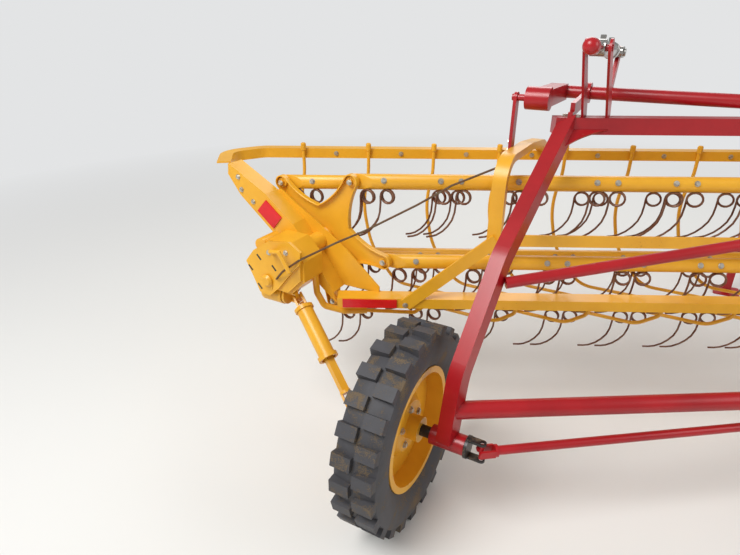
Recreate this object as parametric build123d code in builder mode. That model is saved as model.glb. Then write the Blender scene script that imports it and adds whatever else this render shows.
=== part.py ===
"""Side-delivery bar rake: a basket of five tined bars hung askew under a towed frame on two wheels.

Everything is in millimetres and +Z is up. Work starts with X along the tine bars, Y away from the side
that the hay leaves, and the left wheel standing on the origin. The machine travels at TRAVEL_ANGLE from Y,
so most places are given as distances across the travel direction, along it and up. At the end the whole
machine is moved so that its origin lies on the ground below the middle of its bounding box.
"""

from build123d import *
from math import cos, hypot, radians, sin
import os

# Directions
TRAVEL_ANGLE = 28.0
LEG_ANGLE = 36.0
SEAT_GAP = 0.3
TURN_GAP = 0.4

# Wheels: places are across and along the travel direction
WHEEL_RADIUS = 363.0
LEFT_WHEEL = (0.0, 0.0)
RIGHT_WHEEL = (2007.0, 1104.0)
TYRE_HALF_WIDTH = 80.0
TREAD_HALF_WIDTH = 72.0
BEAD_HALF_WIDTH = 55.0
BEAD_RADIUS = 205.0
RIM_FLANGE_RADIUS = 222.0
RIM_WALL = 5.0
LUG_HEIGHT = 17.0
LUG_COUNT = 24
LUG_LENGTH = 44.0
LUG_INNER_EDGE = 5.0
HUB_RADIUS = 44.0
HUB_REACH = 66.0
DISC_THICKNESS = 8.0
AXLE_RADIUS = 20.0

# Legs, beams and braces of the carrying frame
SLEEVE_RADIUS = 34.0
SLEEVE_NEAR = 105.0
SLEEVE_FAR = 225.0
LEG_WIDTH = 50.8
LEG_DEPTH = 63.5
LEG_BEND = 180.0
LEFT_LEG_FOOT = (114.0, -121.0)
RIGHT_LEG_FOOT = (2175.6, 93.3)
TOP_BEAM_SIZE = 58.0
TOP_BEAM_Y = 510.0
TOP_BEAM_Z = 1290.0
TOP_BEAM_LEFT = 517.0
TOP_BEAM_RIGHT = 2488.0
AXLE_BEAM_RADIUS = 30.0
AXLE_BEAM_Z = 480.0
CROSS_BRACE_RADIUS = 19.0
GUSSET_THICKNESS = 10.0
KNEE_REACH = 125.0

# Tongue, hitch and stand
TONGUE_ACROSS = 1150.0
TONGUE_WIDTH = 70.0
TONGUE_SHOULDER = 1800.0
TONGUE_END = 3060.0
HITCH_Z = 430.0
HITCH_REACH = 90.0
HITCH_EAR = 12.0
HITCH_GAP = 44.0
HITCH_BORE = 13.0
TONGUE_BRACE_RADIUS = 20.0
TONGUE_BRACE_ALONG = 1900.0
TONGUE_BRACE_FEET = (900.0, 2420.0)
STAND_ALONG = 2650.0
STAND_SIZE = 45.0
STAND_WALL = 6.0
STAND_SLEEVE_BOTTOM = 560.0
STAND_SLEEVE_TOP = 770.0
STAND_TOP = 830.0
STAND_FOOT = 150.0
STAND_FOOT_PLATE = 8.0

# Lift gear
ROCK_ALONG = 1010.0
ROCK_Z = 1372.0
ROCK_RADIUS = 24.0
ROCK_LEFT = 125.0
ROCK_RIGHT = 1100.0
ARM_LENGTH = 310.0
ARM_RISE = 3.0
ARM_DEPTH = 60.0
ARM_WALL = 8.0
LEFT_ARM = (125.0, 190.0)
RIGHT_ARM = (1225.0, 1275.0)
DRUM_RADIUS = 40.0
DRUM_OVERHANG = 14.0
PIN_RADIUS = 12.0
RIGHT_PIVOT_ALONG = 1671.0
TIE_LEVER = 120.0
TIE_ACROSS = 1085.0
TIE_THICKNESS = 10.0
TIE_PIN = 10.0
LEVER_HALF = 7.0
CYLINDER_ACROSS = 345.0
CYLINDER_BASE = (570.0, 1550.0)
CYLINDER_LEVER = 165.0
CYLINDER_LEVER_ANGLE = 28.0
BARREL_RADIUS = 25.0
BARREL_BORE = 20.0
BARREL_LENGTH = 300.0
PISTON_ROD_RADIUS = 12.5
PISTON_ROD_INNER_END = 205.0
BEARING_THICKNESS = 16.0
LEFT_BEARING = 270.0
RIGHT_BEARING = 1030.0

# Reel
REEL_Y = 584.0
REEL_Z = 827.0
LEFT_DISC_X = -318.0
RIGHT_DISC_X = 2372.0
REEL_RADIUS = 281.0
BAR_COUNT = 5
BAR_START_ANGLE = -10.0
BAR_RADIUS = 28.5
PAIR_PITCH = 288.0
PAIR_COUNT = 9
PAIR_FIRST = 80.0
TINE_SPREAD = 38.0
SPIDER_PLATE = 6.0
SPIDER_FLANGE = 18.0
SPIDER_HUB = 72.0
SPIDER_ARM_ROOT = 52.0
SPIDER_ARM_TIP = 30.0
SPIDER_SHAFT_RADIUS = 18.0
BAR_PIN_RADIUS = 11.0
BAR_END_GAP = 8.0
TINE_WIRE = 8.0
COIL_RADIUS = 32.0
COIL_BORE = 24.0
COIL_THICKNESS = 13.0
COIL_CENTRE = (20.0, -57.0)

# Basket frame
RAIL_Y = 930.0
RAIL_Z = 1112.0
RAIL_DEPTH = 55.0
RAIL_DROP = 42.0
RAIL_WALL = 6.0
RAIL_RIGHT = 2080.0
BOTTOM_BEAM_Y = (356.0, 424.0)
BOTTOM_BEAM_Z = (622.0, 662.0)
BOTTOM_BEAM_LEFT = -255.0
BOTTOM_BEAM_CORNER = 2655.0
BOTTOM_BEAM_RETURN = 1750.0
MID_RAIL_Y = (398.0, 408.0)
MID_RAIL_Z = (866.0, 910.0)
ARCH_WIDTH = 50.0
ARCH_DEPTH = 28.0
LEFT_ARCH = 104.0
RIGHT_ARCH = 1331.0
ARCH_TOP = 1185.0
ARCH_FOOT = 860.0
ARCH_BEND = 90.0
ARCH_NEAR_Y = 392.0
LINK_WIDTH = 38.0
LINK_THICKNESS = 12.0
LEFT_BEAM_FACE = 240.0
LEFT_BEAM_DEPTH = 80.0
RIGHT_BEAM_FACE = 1755.0
RIGHT_BEAM_DEPTH = 85.0
END_BEAM_WALL = 6.0
SNOUT_RADIUS = 35.0
STRIPPER_RADIUS = 7.5
STRIPPER_COUNT = 8
STRIPPER_Y = 922.0
STRIPPER_UNDER = 500.0
STRIPPER_END_Y = 446.0
STRIPPER_END_Z = 636.0
TAB_WIDTH = 28.0
KNOB_HEIGHT = 26.0
GUARD_RADIUS = 13.0
GUARD_Y = 418.0
REFLECTOR = 5.0
ROPE_RADIUS = 4.0
HANDLE_RADIUS = 6.0

# Gearbox and driveline
GEARBOX_CENTRE = (-600.0, 775.0)
GEARBOX_SIZE = (225.0, 206.0)
GEARBOX_FRONT = 120.0
COVER_THICKNESS = 12.0
INPUT_JOINT = (-553.0, 160.0, 643.0)
WHEEL_JOINT = (-215.0, 0.0, 363.0)
DRIVE_TUBE_RADIUS = 32.0
DRIVE_TUBE_WALL = 3.0
DRIVE_TUBE_LENGTH = 280.0
DRIVE_BAR_WIDTH = 28.0
DRIVE_BAR_INNER_END = 250.0
CROSS_SHAFT_RADIUS = 15.0
YOKE_REACH = 42.0
OUTER_EARS = (29.0, 38.0)
INNER_EARS = (12.0, 20.0)
EYE_RADIUS = 13.0
CROSS_PIN = 8.0
FORK_TURN = 123.0

across = Vector(cos(radians(TRAVEL_ANGLE)), -sin(radians(TRAVEL_ANGLE)), 0)
travel = Vector(sin(radians(TRAVEL_ANGLE)), cos(radians(TRAVEL_ANGLE)), 0)
leg_way = Vector(sin(radians(LEG_ANGLE)), cos(radians(LEG_ANGLE)), 0)
up = Vector(0, 0, 1)
SLANT = sin(radians(TRAVEL_ANGLE))


def spot(n, t, z):
    """Point at distance n across the travel direction, t along it and z up."""
    return across * n + travel * t + up * z


def travel_plane(n):
    """Upright plane along the travel direction, drawn as (along, up), extruded across."""
    return Plane(origin=spot(n, 0, 0), x_dir=travel, z_dir=across)


def facing_plane(t):
    """Upright plane square to the travel direction, drawn as (across, up), extruded backwards."""
    return Plane(origin=spot(0, t, 0), x_dir=across, z_dir=-travel)


def across_at(t, y):
    """Distance across of the point that lies t along and y away from the working origin."""
    return (t * travel.Y - y) / SLANT


def along_at(n, y):
    """Distance along of the point that lies n across and y away from the working origin."""
    return (y + n * SLANT) / travel.Y


def round_bar(start, end, radius, mode=Mode.ADD):
    """Straight round bar between two points, for the part that is being built."""
    line = end - start
    with BuildSketch(Plane(origin=start, z_dir=line)) as section:
        Circle(radius)
    extrude(section.sketch, amount=line.length, mode=mode)


def flat_bar(start, end, width, thickness, thin_way):
    """Straight bar of rectangular section, thin in the given direction."""
    line = end - start
    with BuildSketch(Plane(origin=start, x_dir=thin_way.cross(line), z_dir=line)) as section:
        Rectangle(width, thickness)
    extrude(section.sketch, amount=line.length)


def bent_plate(plane, points, bend, width, half_thickness):
    """Bar of even width that follows bent lines in one plane."""
    with BuildSketch(plane) as outline:
        with BuildLine():
            FilletPolyline(*points, radius=bend)
        trace(line_width=width)
    extrude(outline.sketch, amount=half_thickness, both=True)


def fork(centre, opening, pin_way, ears, reach, pin_hole):
    """Fork of a universal joint: two ears around its pin and the round base that they stand on."""
    inner, outer = ears
    ear_plane = Plane(origin=centre, x_dir=-opening, z_dir=pin_way)
    for side in (-1, 1):
        with BuildSketch(ear_plane.offset(side * (inner + outer) / 2)) as ear:
            with BuildLine():
                Line((0, -EYE_RADIUS), (reach, -EYE_RADIUS))
                Line((reach, -EYE_RADIUS), (reach, EYE_RADIUS))
                Line((reach, EYE_RADIUS), (0, EYE_RADIUS))
                ThreePointArc((0, EYE_RADIUS), (-EYE_RADIUS, 0), (0, -EYE_RADIUS))
            make_face()
            Circle(pin_hole, mode=Mode.SUBTRACT)
        extrude(ear.sketch, amount=(outer - inner) / 2, both=True)
    round_bar(centre - opening * reach, centre - opening * (reach + 10), outer + 1)


def knuckle(centre, opening, pin_way, reach):
    """Inner fork with the cross that its joint turns on."""
    other_way = opening.cross(pin_way).normalized()
    fork(centre, opening, other_way, INNER_EARS, reach, CROSS_PIN / 2)
    pin_reach = OUTER_EARS[0] - 2
    round_bar(centre - pin_way * pin_reach, centre + pin_way * pin_reach, CROSS_PIN)
    nib_reach = OUTER_EARS[0] - SEAT_GAP
    round_bar(centre - pin_way * nib_reach, centre + pin_way * nib_reach, CROSS_PIN / 3)
    round_bar(centre - other_way * INNER_EARS[1], centre + other_way * INNER_EARS[1], CROSS_PIN)


pieces = {}

# Wheels
for side, (wheel_across, wheel_along), outward in (("left", LEFT_WHEEL, -1), ("right", RIGHT_WHEEL, 1)):
    hub_middle = spot(wheel_across, wheel_along, WHEEL_RADIUS)
    axis_plane = Plane(origin=hub_middle, x_dir=across, z_dir=-travel)
    side_plane = Plane(origin=hub_middle, x_dir=travel, z_dir=across)
    tread_radius = WHEEL_RADIUS - LUG_HEIGHT

    with BuildPart() as tyre:
        with BuildSketch(axis_plane):
            with BuildLine():
                bead = BEAD_HALF_WIDTH - SEAT_GAP
                seat = BEAD_RADIUS + SEAT_GAP
                shoulder = tread_radius - 12
                Line((-bead, seat), (bead, seat))
                Line((bead, seat), (bead, RIM_FLANGE_RADIUS))
                ThreePointArc((bead, RIM_FLANGE_RADIUS), (TYRE_HALF_WIDTH, 285), (TREAD_HALF_WIDTH, shoulder))
                ThreePointArc((TREAD_HALF_WIDTH, shoulder), (0, tread_radius), (-TREAD_HALF_WIDTH, shoulder))
                ThreePointArc((-TREAD_HALF_WIDTH, shoulder), (-TYRE_HALF_WIDTH, 285), (-bead, RIM_FLANGE_RADIUS))
                Line((-bead, RIM_FLANGE_RADIUS), (-bead, seat))
            make_face()
        revolve(axis=Axis(hub_middle, across))
        for row in (-1, 1):
            turn = 0 if row < 0 else 180 / LUG_COUNT
            with BuildSketch(side_plane.offset(row * LUG_INNER_EDGE)):
                with PolarLocations(WHEEL_RADIUS - LUG_HEIGHT, LUG_COUNT, start_angle=turn):
                    Rectangle(2 * LUG_HEIGHT, LUG_LENGTH)
            extrude(amount=row * (TREAD_HALF_WIDTH - LUG_INNER_EDGE))
    pieces[side + "_tyre"] = tyre

    with BuildPart() as rim:
        with BuildSketch(axis_plane):
            with BuildLine():
                edge = BEAD_HALF_WIDTH + RIM_WALL
                base = BEAD_RADIUS - RIM_WALL
                Polyline(
                    (-edge, RIM_FLANGE_RADIUS),
                    (-BEAD_HALF_WIDTH, RIM_FLANGE_RADIUS),
                    (-BEAD_HALF_WIDTH, BEAD_RADIUS),
                    (BEAD_HALF_WIDTH, BEAD_RADIUS),
                    (BEAD_HALF_WIDTH, RIM_FLANGE_RADIUS),
                    (edge, RIM_FLANGE_RADIUS),
                    (edge, base),
                    (-edge, base),
                    close=True,
                )
            make_face()
            with BuildLine():
                dish = outward * 14
                Polyline(
                    (dish, base + 1),
                    (dish + DISC_THICKNESS, base + 1),
                    (dish + DISC_THICKNESS, 120),
                    (dish + DISC_THICKNESS - 2 * outward * 14, 90),
                    (dish + DISC_THICKNESS - 2 * outward * 14, HUB_RADIUS - 4),
                    (dish - 2 * outward * 14, HUB_RADIUS - 4),
                    (dish - 2 * outward * 14, 90),
                    (dish, 120),
                    close=True,
                )
            make_face()
        revolve(axis=Axis(hub_middle, across))
        with BuildSketch(side_plane.offset(-HUB_REACH)):
            Circle(HUB_RADIUS)
        extrude(amount=2 * HUB_REACH)
        with BuildSketch(side_plane.offset(-HUB_REACH)):
            Circle(AXLE_RADIUS + TURN_GAP)
        extrude(amount=2 * HUB_REACH, mode=Mode.SUBTRACT)
    pieces[side + "_rim"] = rim

# Legs, each a bent square tube on a round bearing sleeve
LEG_PATHS = {
    "left": (LEFT_LEG_FOOT, ((40, 372), (85, 600), (320, 930), (800, 1321))),
    "right": (RIGHT_LEG_FOOT, ((0, 372), (40, 880), (240, 1150), (500, 1317))),
}
for side, (wheel_across, wheel_along), inward in (("left", LEFT_WHEEL, 1), ("right", RIGHT_WHEEL, -1)):
    foot, path = LEG_PATHS[side]
    hub_middle = spot(wheel_across, wheel_along, WHEEL_RADIUS)
    with BuildPart() as leg:
        leg_plane = Plane(origin=(foot[0], foot[1], 0), x_dir=leg_way, z_dir=leg_way.cross(up))
        bent_plate(leg_plane, path, LEG_BEND, LEG_DEPTH, LEG_WIDTH / 2)
        beam_face = TOP_BEAM_Y - TOP_BEAM_SIZE / 2
        split(bisect_by=Plane(origin=(0, beam_face, 0), z_dir=(0, 1, 0)), keep=Keep.BOTTOM)
        near_end = hub_middle + across * inward * SLEEVE_NEAR
        far_end = hub_middle + across * inward * SLEEVE_FAR
        round_bar(near_end, far_end, SLEEVE_RADIUS)
        overrun = across * inward * 15
        round_bar(near_end - overrun, far_end + overrun, AXLE_RADIUS + TURN_GAP, mode=Mode.SUBTRACT)
    pieces[side + "_leg"] = leg

with BuildPart() as top_beam:
    with BuildSketch(Plane.YZ.offset(TOP_BEAM_LEFT)):
        with Locations((TOP_BEAM_Y, TOP_BEAM_Z)):
            Rectangle(TOP_BEAM_SIZE, TOP_BEAM_SIZE)
    extrude(amount=TOP_BEAM_RIGHT - TOP_BEAM_LEFT)
pieces["top_beam"] = top_beam

with BuildPart() as axle_beam:
    left_start = Vector(150, -72, AXLE_BEAM_Z)
    right_start = Vector(2182.6, 98.3, AXLE_BEAM_Z)
    round_bar(left_start, right_start, AXLE_BEAM_RADIUS)
    add(pieces["left_leg"].part, mode=Mode.SUBTRACT)
    add(pieces["right_leg"].part, mode=Mode.SUBTRACT)
pieces["axle_beam"] = axle_beam

with BuildPart() as cross_brace:
    round_bar(Vector(315, 100, 858), Vector(2322.6, 282.3, 1165), CROSS_BRACE_RADIUS)
    add(pieces["left_leg"].part, mode=Mode.SUBTRACT)
    add(pieces["right_leg"].part, mode=Mode.SUBTRACT)
pieces["cross_brace"] = cross_brace

# Curved knees between the legs and the top beam
for side, inward in (("left", 1), ("right", -1)):
    foot, path = LEG_PATHS[side]
    rise = Vector(0, 0, path[-1][1] - path[-2][1]) + leg_way * (path[-1][0] - path[-2][0])
    rise = rise.normalized()
    beam_face = TOP_BEAM_Y - TOP_BEAM_SIZE / 2
    leg_end = Vector(foot[0], foot[1], 0) + leg_way * path[-1][0] + up * path[-1][1]
    corner = leg_end - rise * ((leg_end.Y - beam_face) / rise.Y)
    knee_plane = Plane(origin=corner, x_dir=(1, 0, 0), z_dir=rise.cross(Vector(1, 0, 0)))
    with BuildPart() as knee:
        with BuildSketch(knee_plane):
            with BuildLine():
                run = inward * (KNEE_REACH + LEG_WIDTH / 2)
                drop = KNEE_REACH
                lean = -drop * rise.X / hypot(rise.Y, rise.Z)
                Line((0, 0), (run, 0))
                ThreePointArc((run, 0), (0.36 * run + 0.4 * lean, 0.36 * drop), (lean, drop))
                Line((lean, drop), (0, 0))
            make_face()
        extrude(amount=GUSSET_THICKNESS / 2, both=True)
        add(pieces[side + "_leg"].part, mode=Mode.SUBTRACT)
        add(top_beam.part, mode=Mode.SUBTRACT)
    pieces[side + "_knee"] = knee

# Axles through the wheels, with the outer forks of their joints
fork_pin = travel * cos(radians(FORK_TURN)) + up * sin(radians(FORK_TURN))
with BuildPart() as left_axle:
    inner_centre = spot(LEFT_WHEEL[0] + SLEEVE_FAR + YOKE_REACH + 12, LEFT_WHEEL[1], WHEEL_RADIUS)
    outer_centre = spot(*WHEEL_JOINT)
    round_bar(outer_centre + across * YOKE_REACH, inner_centre - across * YOKE_REACH, AXLE_RADIUS)
    fork(outer_centre, -across, fork_pin, OUTER_EARS, YOKE_REACH, CROSS_PIN)
    fork(inner_centre, across, up, OUTER_EARS, YOKE_REACH, CROSS_PIN)
pieces["left_axle"] = left_axle

with BuildPart() as right_axle:
    right_inner = spot(RIGHT_WHEEL[0] - SLEEVE_FAR - YOKE_REACH - 12, RIGHT_WHEEL[1], WHEEL_RADIUS)
    round_bar(right_inner + across * YOKE_REACH, spot(RIGHT_WHEEL[0] + 92, RIGHT_WHEEL[1], WHEEL_RADIUS), AXLE_RADIUS)
    fork(right_inner, -across, up, OUTER_EARS, YOKE_REACH, CROSS_PIN)
pieces["right_axle"] = right_axle

with BuildPart() as cross_shaft:
    cross_way = (right_inner - inner_centre).normalized()
    knuckle(inner_centre, -cross_way, up, YOKE_REACH)
    knuckle(right_inner, cross_way, up, YOKE_REACH)
    round_bar(inner_centre + cross_way * YOKE_REACH, right_inner - cross_way * YOKE_REACH, CROSS_SHAFT_RADIUS)
pieces["cross_shaft"] = cross_shaft

# Tongue in one upright plane, with its braces and hitch
with BuildPart() as tongue:
    tongue_path = (
        (along_at(TONGUE_ACROSS, TOP_BEAM_Y), TOP_BEAM_Z),
        (TONGUE_SHOULDER, TOP_BEAM_Z),
        (TONGUE_END, HITCH_Z),
        (TONGUE_END + 120, HITCH_Z),
    )
    bent_plate(travel_plane(TONGUE_ACROSS), tongue_path, 60, TOP_BEAM_SIZE, TONGUE_WIDTH / 2)
    add(top_beam.part, mode=Mode.SUBTRACT)
pieces["tongue"] = tongue

hitch_root = TONGUE_END + 120
with BuildPart() as hitch_clevis:
    with BuildSketch(travel_plane(TONGUE_ACROSS)):
        with Locations((hitch_root + 6, HITCH_Z)):
            Rectangle(12, TOP_BEAM_SIZE + 16)
    extrude(amount=TONGUE_WIDTH / 2 + 5, both=True)
    for side in (-1, 1):
        ear_plane = Plane(origin=spot(TONGUE_ACROSS, hitch_root + 12, HITCH_Z + side * (HITCH_GAP + HITCH_EAR) / 2),
                          x_dir=travel, z_dir=(0, 0, 1))
        with BuildSketch(ear_plane):
            with Locations((HITCH_REACH / 2 - 20, 0)):
                SlotOverall(HITCH_REACH + 75, 70)
            with Locations((-60, 0)):
                Rectangle(120, 80, mode=Mode.SUBTRACT)
            with Locations((HITCH_REACH - 25, 0)):
                Circle(HITCH_BORE, mode=Mode.SUBTRACT)
        extrude(amount=HITCH_EAR / 2, both=True)
pieces["hitch_clevis"] = hitch_clevis

with BuildPart() as tongue_braces:
    slope = (HITCH_Z - TOP_BEAM_Z) / (TONGUE_END - TONGUE_SHOULDER)
    brace_z = TOP_BEAM_Z + slope * (TONGUE_BRACE_ALONG - TONGUE_SHOULDER)
    for foot_x in TONGUE_BRACE_FEET:
        round_bar(spot(TONGUE_ACROSS, TONGUE_BRACE_ALONG, brace_z), Vector(foot_x, TOP_BEAM_Y, TOP_BEAM_Z),
                  TONGUE_BRACE_RADIUS)
    add(tongue.part, mode=Mode.SUBTRACT)
    add(top_beam.part, mode=Mode.SUBTRACT)
pieces["tongue_braces"] = tongue_braces

stand_across = TONGUE_ACROSS - TONGUE_WIDTH / 2 - STAND_SIZE / 2 - STAND_WALL - TURN_GAP
with BuildPart() as stand_sleeve:
    sleeve_plane = Plane(origin=spot(stand_across, STAND_ALONG, STAND_SLEEVE_BOTTOM), x_dir=across, z_dir=(0, 0, 1))
    with BuildSketch(sleeve_plane):
        Rectangle(STAND_SIZE + 2 * (STAND_WALL + TURN_GAP), STAND_SIZE + 2 * (STAND_WALL + TURN_GAP))
        Rectangle(STAND_SIZE + 2 * TURN_GAP, STAND_SIZE + 2 * TURN_GAP, mode=Mode.SUBTRACT)
    extrude(amount=STAND_SLEEVE_TOP - STAND_SLEEVE_BOTTOM)
pieces["stand_sleeve"] = stand_sleeve

with BuildPart() as stand_leg:
    with BuildSketch(Plane(origin=spot(stand_across, STAND_ALONG, 0), x_dir=across, z_dir=(0, 0, 1))):
        RectangleRounded(STAND_FOOT, STAND_FOOT, 14)
    extrude(amount=STAND_FOOT_PLATE)
    with BuildSketch(Plane(origin=spot(stand_across, STAND_ALONG, 0), x_dir=across, z_dir=(0, 0, 1))):
        Rectangle(STAND_SIZE, STAND_SIZE)
    extrude(amount=STAND_TOP)
pieces["stand_leg"] = stand_leg

# Bearings of the rockshaft on the top beam, and of the right lift arm on the tongue
beam_top = TOP_BEAM_Z + TOP_BEAM_SIZE / 2
with BuildPart() as rock_bearings:
    for n in (LEFT_BEARING, RIGHT_BEARING):
        foot_along = along_at(n, TOP_BEAM_Y)
        with BuildSketch(travel_plane(n)):
            with Locations((foot_along, beam_top + 9)):
                Rectangle(58, 18)
            with BuildLine():
                Line((foot_along, beam_top + 24), (ROCK_ALONG, ROCK_Z - 8))
            trace(line_width=46)
            with Locations((ROCK_ALONG, ROCK_Z)):
                Circle(38)
                Circle(ROCK_RADIUS + TURN_GAP, mode=Mode.SUBTRACT)
        extrude(amount=BEARING_THICKNESS / 2, both=True)
pieces["rockshaft_bearings"] = rock_bearings

with BuildPart() as arm_bearing:
    with BuildSketch(travel_plane(TONGUE_ACROSS)):
        with Locations((RIGHT_PIVOT_ALONG, (beam_top + ROCK_Z) / 2)):
            Rectangle(76, ROCK_Z - beam_top)
        with Locations((RIGHT_PIVOT_ALONG, ROCK_Z)):
            Circle(38)
            Circle(ROCK_RADIUS + TURN_GAP, mode=Mode.SUBTRACT)
    extrude(amount=TONGUE_WIDTH / 2 - 3, both=True)
pieces["lift_arm_bearing"] = arm_bearing


def lift_arm(pivot_along, arm, pin_end):
    """Channel arm from a pivot to its drum and pin, for the part that is being built."""
    near, far = arm
    pin_spot = (pivot_along - ARM_LENGTH, ROCK_Z + ARM_RISE)
    with BuildSketch(travel_plane(near)) as outside:
        with BuildLine():
            Line(pin_spot, (pivot_along, ROCK_Z))
        trace(line_width=ARM_DEPTH)
    extrude(outside.sketch, amount=far - near)
    with BuildSketch(travel_plane(near + ARM_WALL)) as inside:
        with BuildLine():
            Line((pin_spot[0], pin_spot[1] - ARM_WALL), (pivot_along - ROCK_RADIUS, ROCK_Z - ARM_WALL))
        trace(line_width=ARM_DEPTH)
    extrude(inside.sketch, amount=far - near - 2 * ARM_WALL, mode=Mode.SUBTRACT)
    round_bar(spot(near - DRUM_OVERHANG, *pin_spot), spot(far + 5, *pin_spot), DRUM_RADIUS)
    round_bar(spot(near, *pin_spot), spot(pin_end, *pin_spot), PIN_RADIUS)


with BuildPart() as rockshaft:
    round_bar(spot(ROCK_LEFT, ROCK_ALONG, ROCK_Z), spot(ROCK_RIGHT, ROCK_ALONG, ROCK_Z), ROCK_RADIUS)
    lift_arm(ROCK_ALONG, LEFT_ARM, LEFT_ARCH - ARCH_WIDTH / 2 - LINK_THICKNESS - 8)
    lever_along = ROCK_ALONG + CYLINDER_LEVER * sin(radians(CYLINDER_LEVER_ANGLE))
    lever_z = ROCK_Z + CYLINDER_LEVER * cos(radians(CYLINDER_LEVER_ANGLE))
    with BuildSketch(travel_plane(CYLINDER_ACROSS)):
        with BuildLine():
            Line((ROCK_ALONG, ROCK_Z), (lever_along, lever_z))
        trace(line_width=44)
        with Locations((lever_along, lever_z)):
            Circle(22)
    extrude(amount=LEVER_HALF, both=True)
    with BuildSketch(travel_plane(TIE_ACROSS)):
        with BuildLine():
            Line((ROCK_ALONG, ROCK_Z), (ROCK_ALONG, ROCK_Z + TIE_LEVER))
        trace(line_width=44)
        with Locations((ROCK_ALONG, ROCK_Z + TIE_LEVER)):
            Circle(22)
            Circle(TIE_PIN + TURN_GAP, mode=Mode.SUBTRACT)
    extrude(amount=LEVER_HALF, both=True)
pieces["rockshaft"] = rockshaft

with BuildPart() as right_arm:
    right_tube_start = spot(TIE_ACROSS - LEVER_HALF, RIGHT_PIVOT_ALONG, ROCK_Z)
    round_bar(right_tube_start, spot(RIGHT_ARM[1] + 5, RIGHT_PIVOT_ALONG, ROCK_Z), ROCK_RADIUS)
    lift_arm(RIGHT_PIVOT_ALONG, RIGHT_ARM, RIGHT_ARCH - ARCH_WIDTH / 2 + 4)
    with BuildSketch(travel_plane(TIE_ACROSS)):
        with BuildLine():
            Line((RIGHT_PIVOT_ALONG, ROCK_Z), (RIGHT_PIVOT_ALONG, ROCK_Z + TIE_LEVER))
        trace(line_width=44)
        with Locations((RIGHT_PIVOT_ALONG, ROCK_Z + TIE_LEVER)):
            Circle(22)
            Circle(TIE_PIN + TURN_GAP, mode=Mode.SUBTRACT)
    extrude(amount=LEVER_HALF, both=True)
pieces["right_lift_arm"] = right_arm

with BuildPart() as tie_rod:
    tie_z = ROCK_Z + TIE_LEVER
    tie_face = TIE_ACROSS + LEVER_HALF + SEAT_GAP
    with BuildSketch(travel_plane(tie_face)):
        with Locations(((ROCK_ALONG + RIGHT_PIVOT_ALONG) / 2, tie_z)):
            SlotCenterToCenter(RIGHT_PIVOT_ALONG - ROCK_ALONG, 34)
    extrude(amount=TIE_THICKNESS)
    for along in (ROCK_ALONG, RIGHT_PIVOT_ALONG):
        round_bar(spot(TIE_ACROSS - LEVER_HALF - 6, along, tie_z), spot(tie_face + TIE_THICKNESS, along, tie_z), TIE_PIN)
pieces["tie_rod"] = tie_rod

# Lift cylinder on two flat stands
base_along, base_z = CYLINDER_BASE
with BuildPart() as stands:
    for n in (CYLINDER_ACROSS - 37, CYLINDER_ACROSS + 37):
        foot_along = along_at(n, TOP_BEAM_Y)
        with BuildSketch(travel_plane(n)):
            with BuildLine():
                FilletPolyline((foot_along + 32, beam_top + 4), (foot_along - 25, beam_top + 4), (base_along, base_z), radius=30)
            trace(line_width=8)
            with BuildLine():
                Polyline(
                    (foot_along - 32, beam_top),
                    (foot_along + 32, beam_top),
                    (foot_along + 6, beam_top + 50),
                    (base_along + 26, base_z - 10),
                    (base_along - 26, base_z - 10),
                    close=True,
                )
            make_face()
            with Locations(CYLINDER_BASE):
                Circle(27)
        extrude(amount=4, both=True)
    round_bar(spot(CYLINDER_ACROSS - 44, *CYLINDER_BASE), spot(CYLINDER_ACROSS + 44, *CYLINDER_BASE), 10)
pieces["cylinder_stands"] = stands

base_pin = spot(CYLINDER_ACROSS, *CYLINDER_BASE)
rod_pin = spot(CYLINDER_ACROSS, lever_along, lever_z)
cylinder_way = (rod_pin - base_pin).normalized()
with BuildPart() as barrel:
    round_bar(base_pin + cylinder_way * 24, base_pin + cylinder_way * BARREL_LENGTH, BARREL_RADIUS)
    round_bar(base_pin + cylinder_way * 44, base_pin + cylinder_way * (BARREL_LENGTH - 14), BARREL_BORE, mode=Mode.SUBTRACT)
    round_bar(base_pin + cylinder_way * (BARREL_LENGTH - 20), base_pin + cylinder_way * BARREL_LENGTH,
              PISTON_ROD_RADIUS + TURN_GAP, mode=Mode.SUBTRACT)
    round_bar(base_pin - across * 22, base_pin + across * 22, 25)
    round_bar(base_pin - across * 22, base_pin + across * 22, 10 + TURN_GAP, mode=Mode.SUBTRACT)
pieces["cylinder_barrel"] = barrel

with BuildPart() as piston_rod:
    round_bar(base_pin + cylinder_way * PISTON_ROD_INNER_END, rod_pin - cylinder_way * 40, PISTON_ROD_RADIUS)
    for side in (-1, 1):
        ear_middle = rod_pin + across * side * (LEVER_HALF + SEAT_GAP + 5)
        with BuildSketch(Plane(origin=ear_middle, x_dir=-cylinder_way, z_dir=across)):
            with Locations((20, 0)):
                SlotOverall(88, 40)
        extrude(amount=5, both=True)
        round_bar(ear_middle, ear_middle + across * side * 11, 15)
    with BuildSketch(Plane(origin=rod_pin - cylinder_way * 44, z_dir=-cylinder_way)):
        Rectangle(35, 35)
    extrude(amount=14)
pieces["cylinder_rod"] = piston_rod

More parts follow.
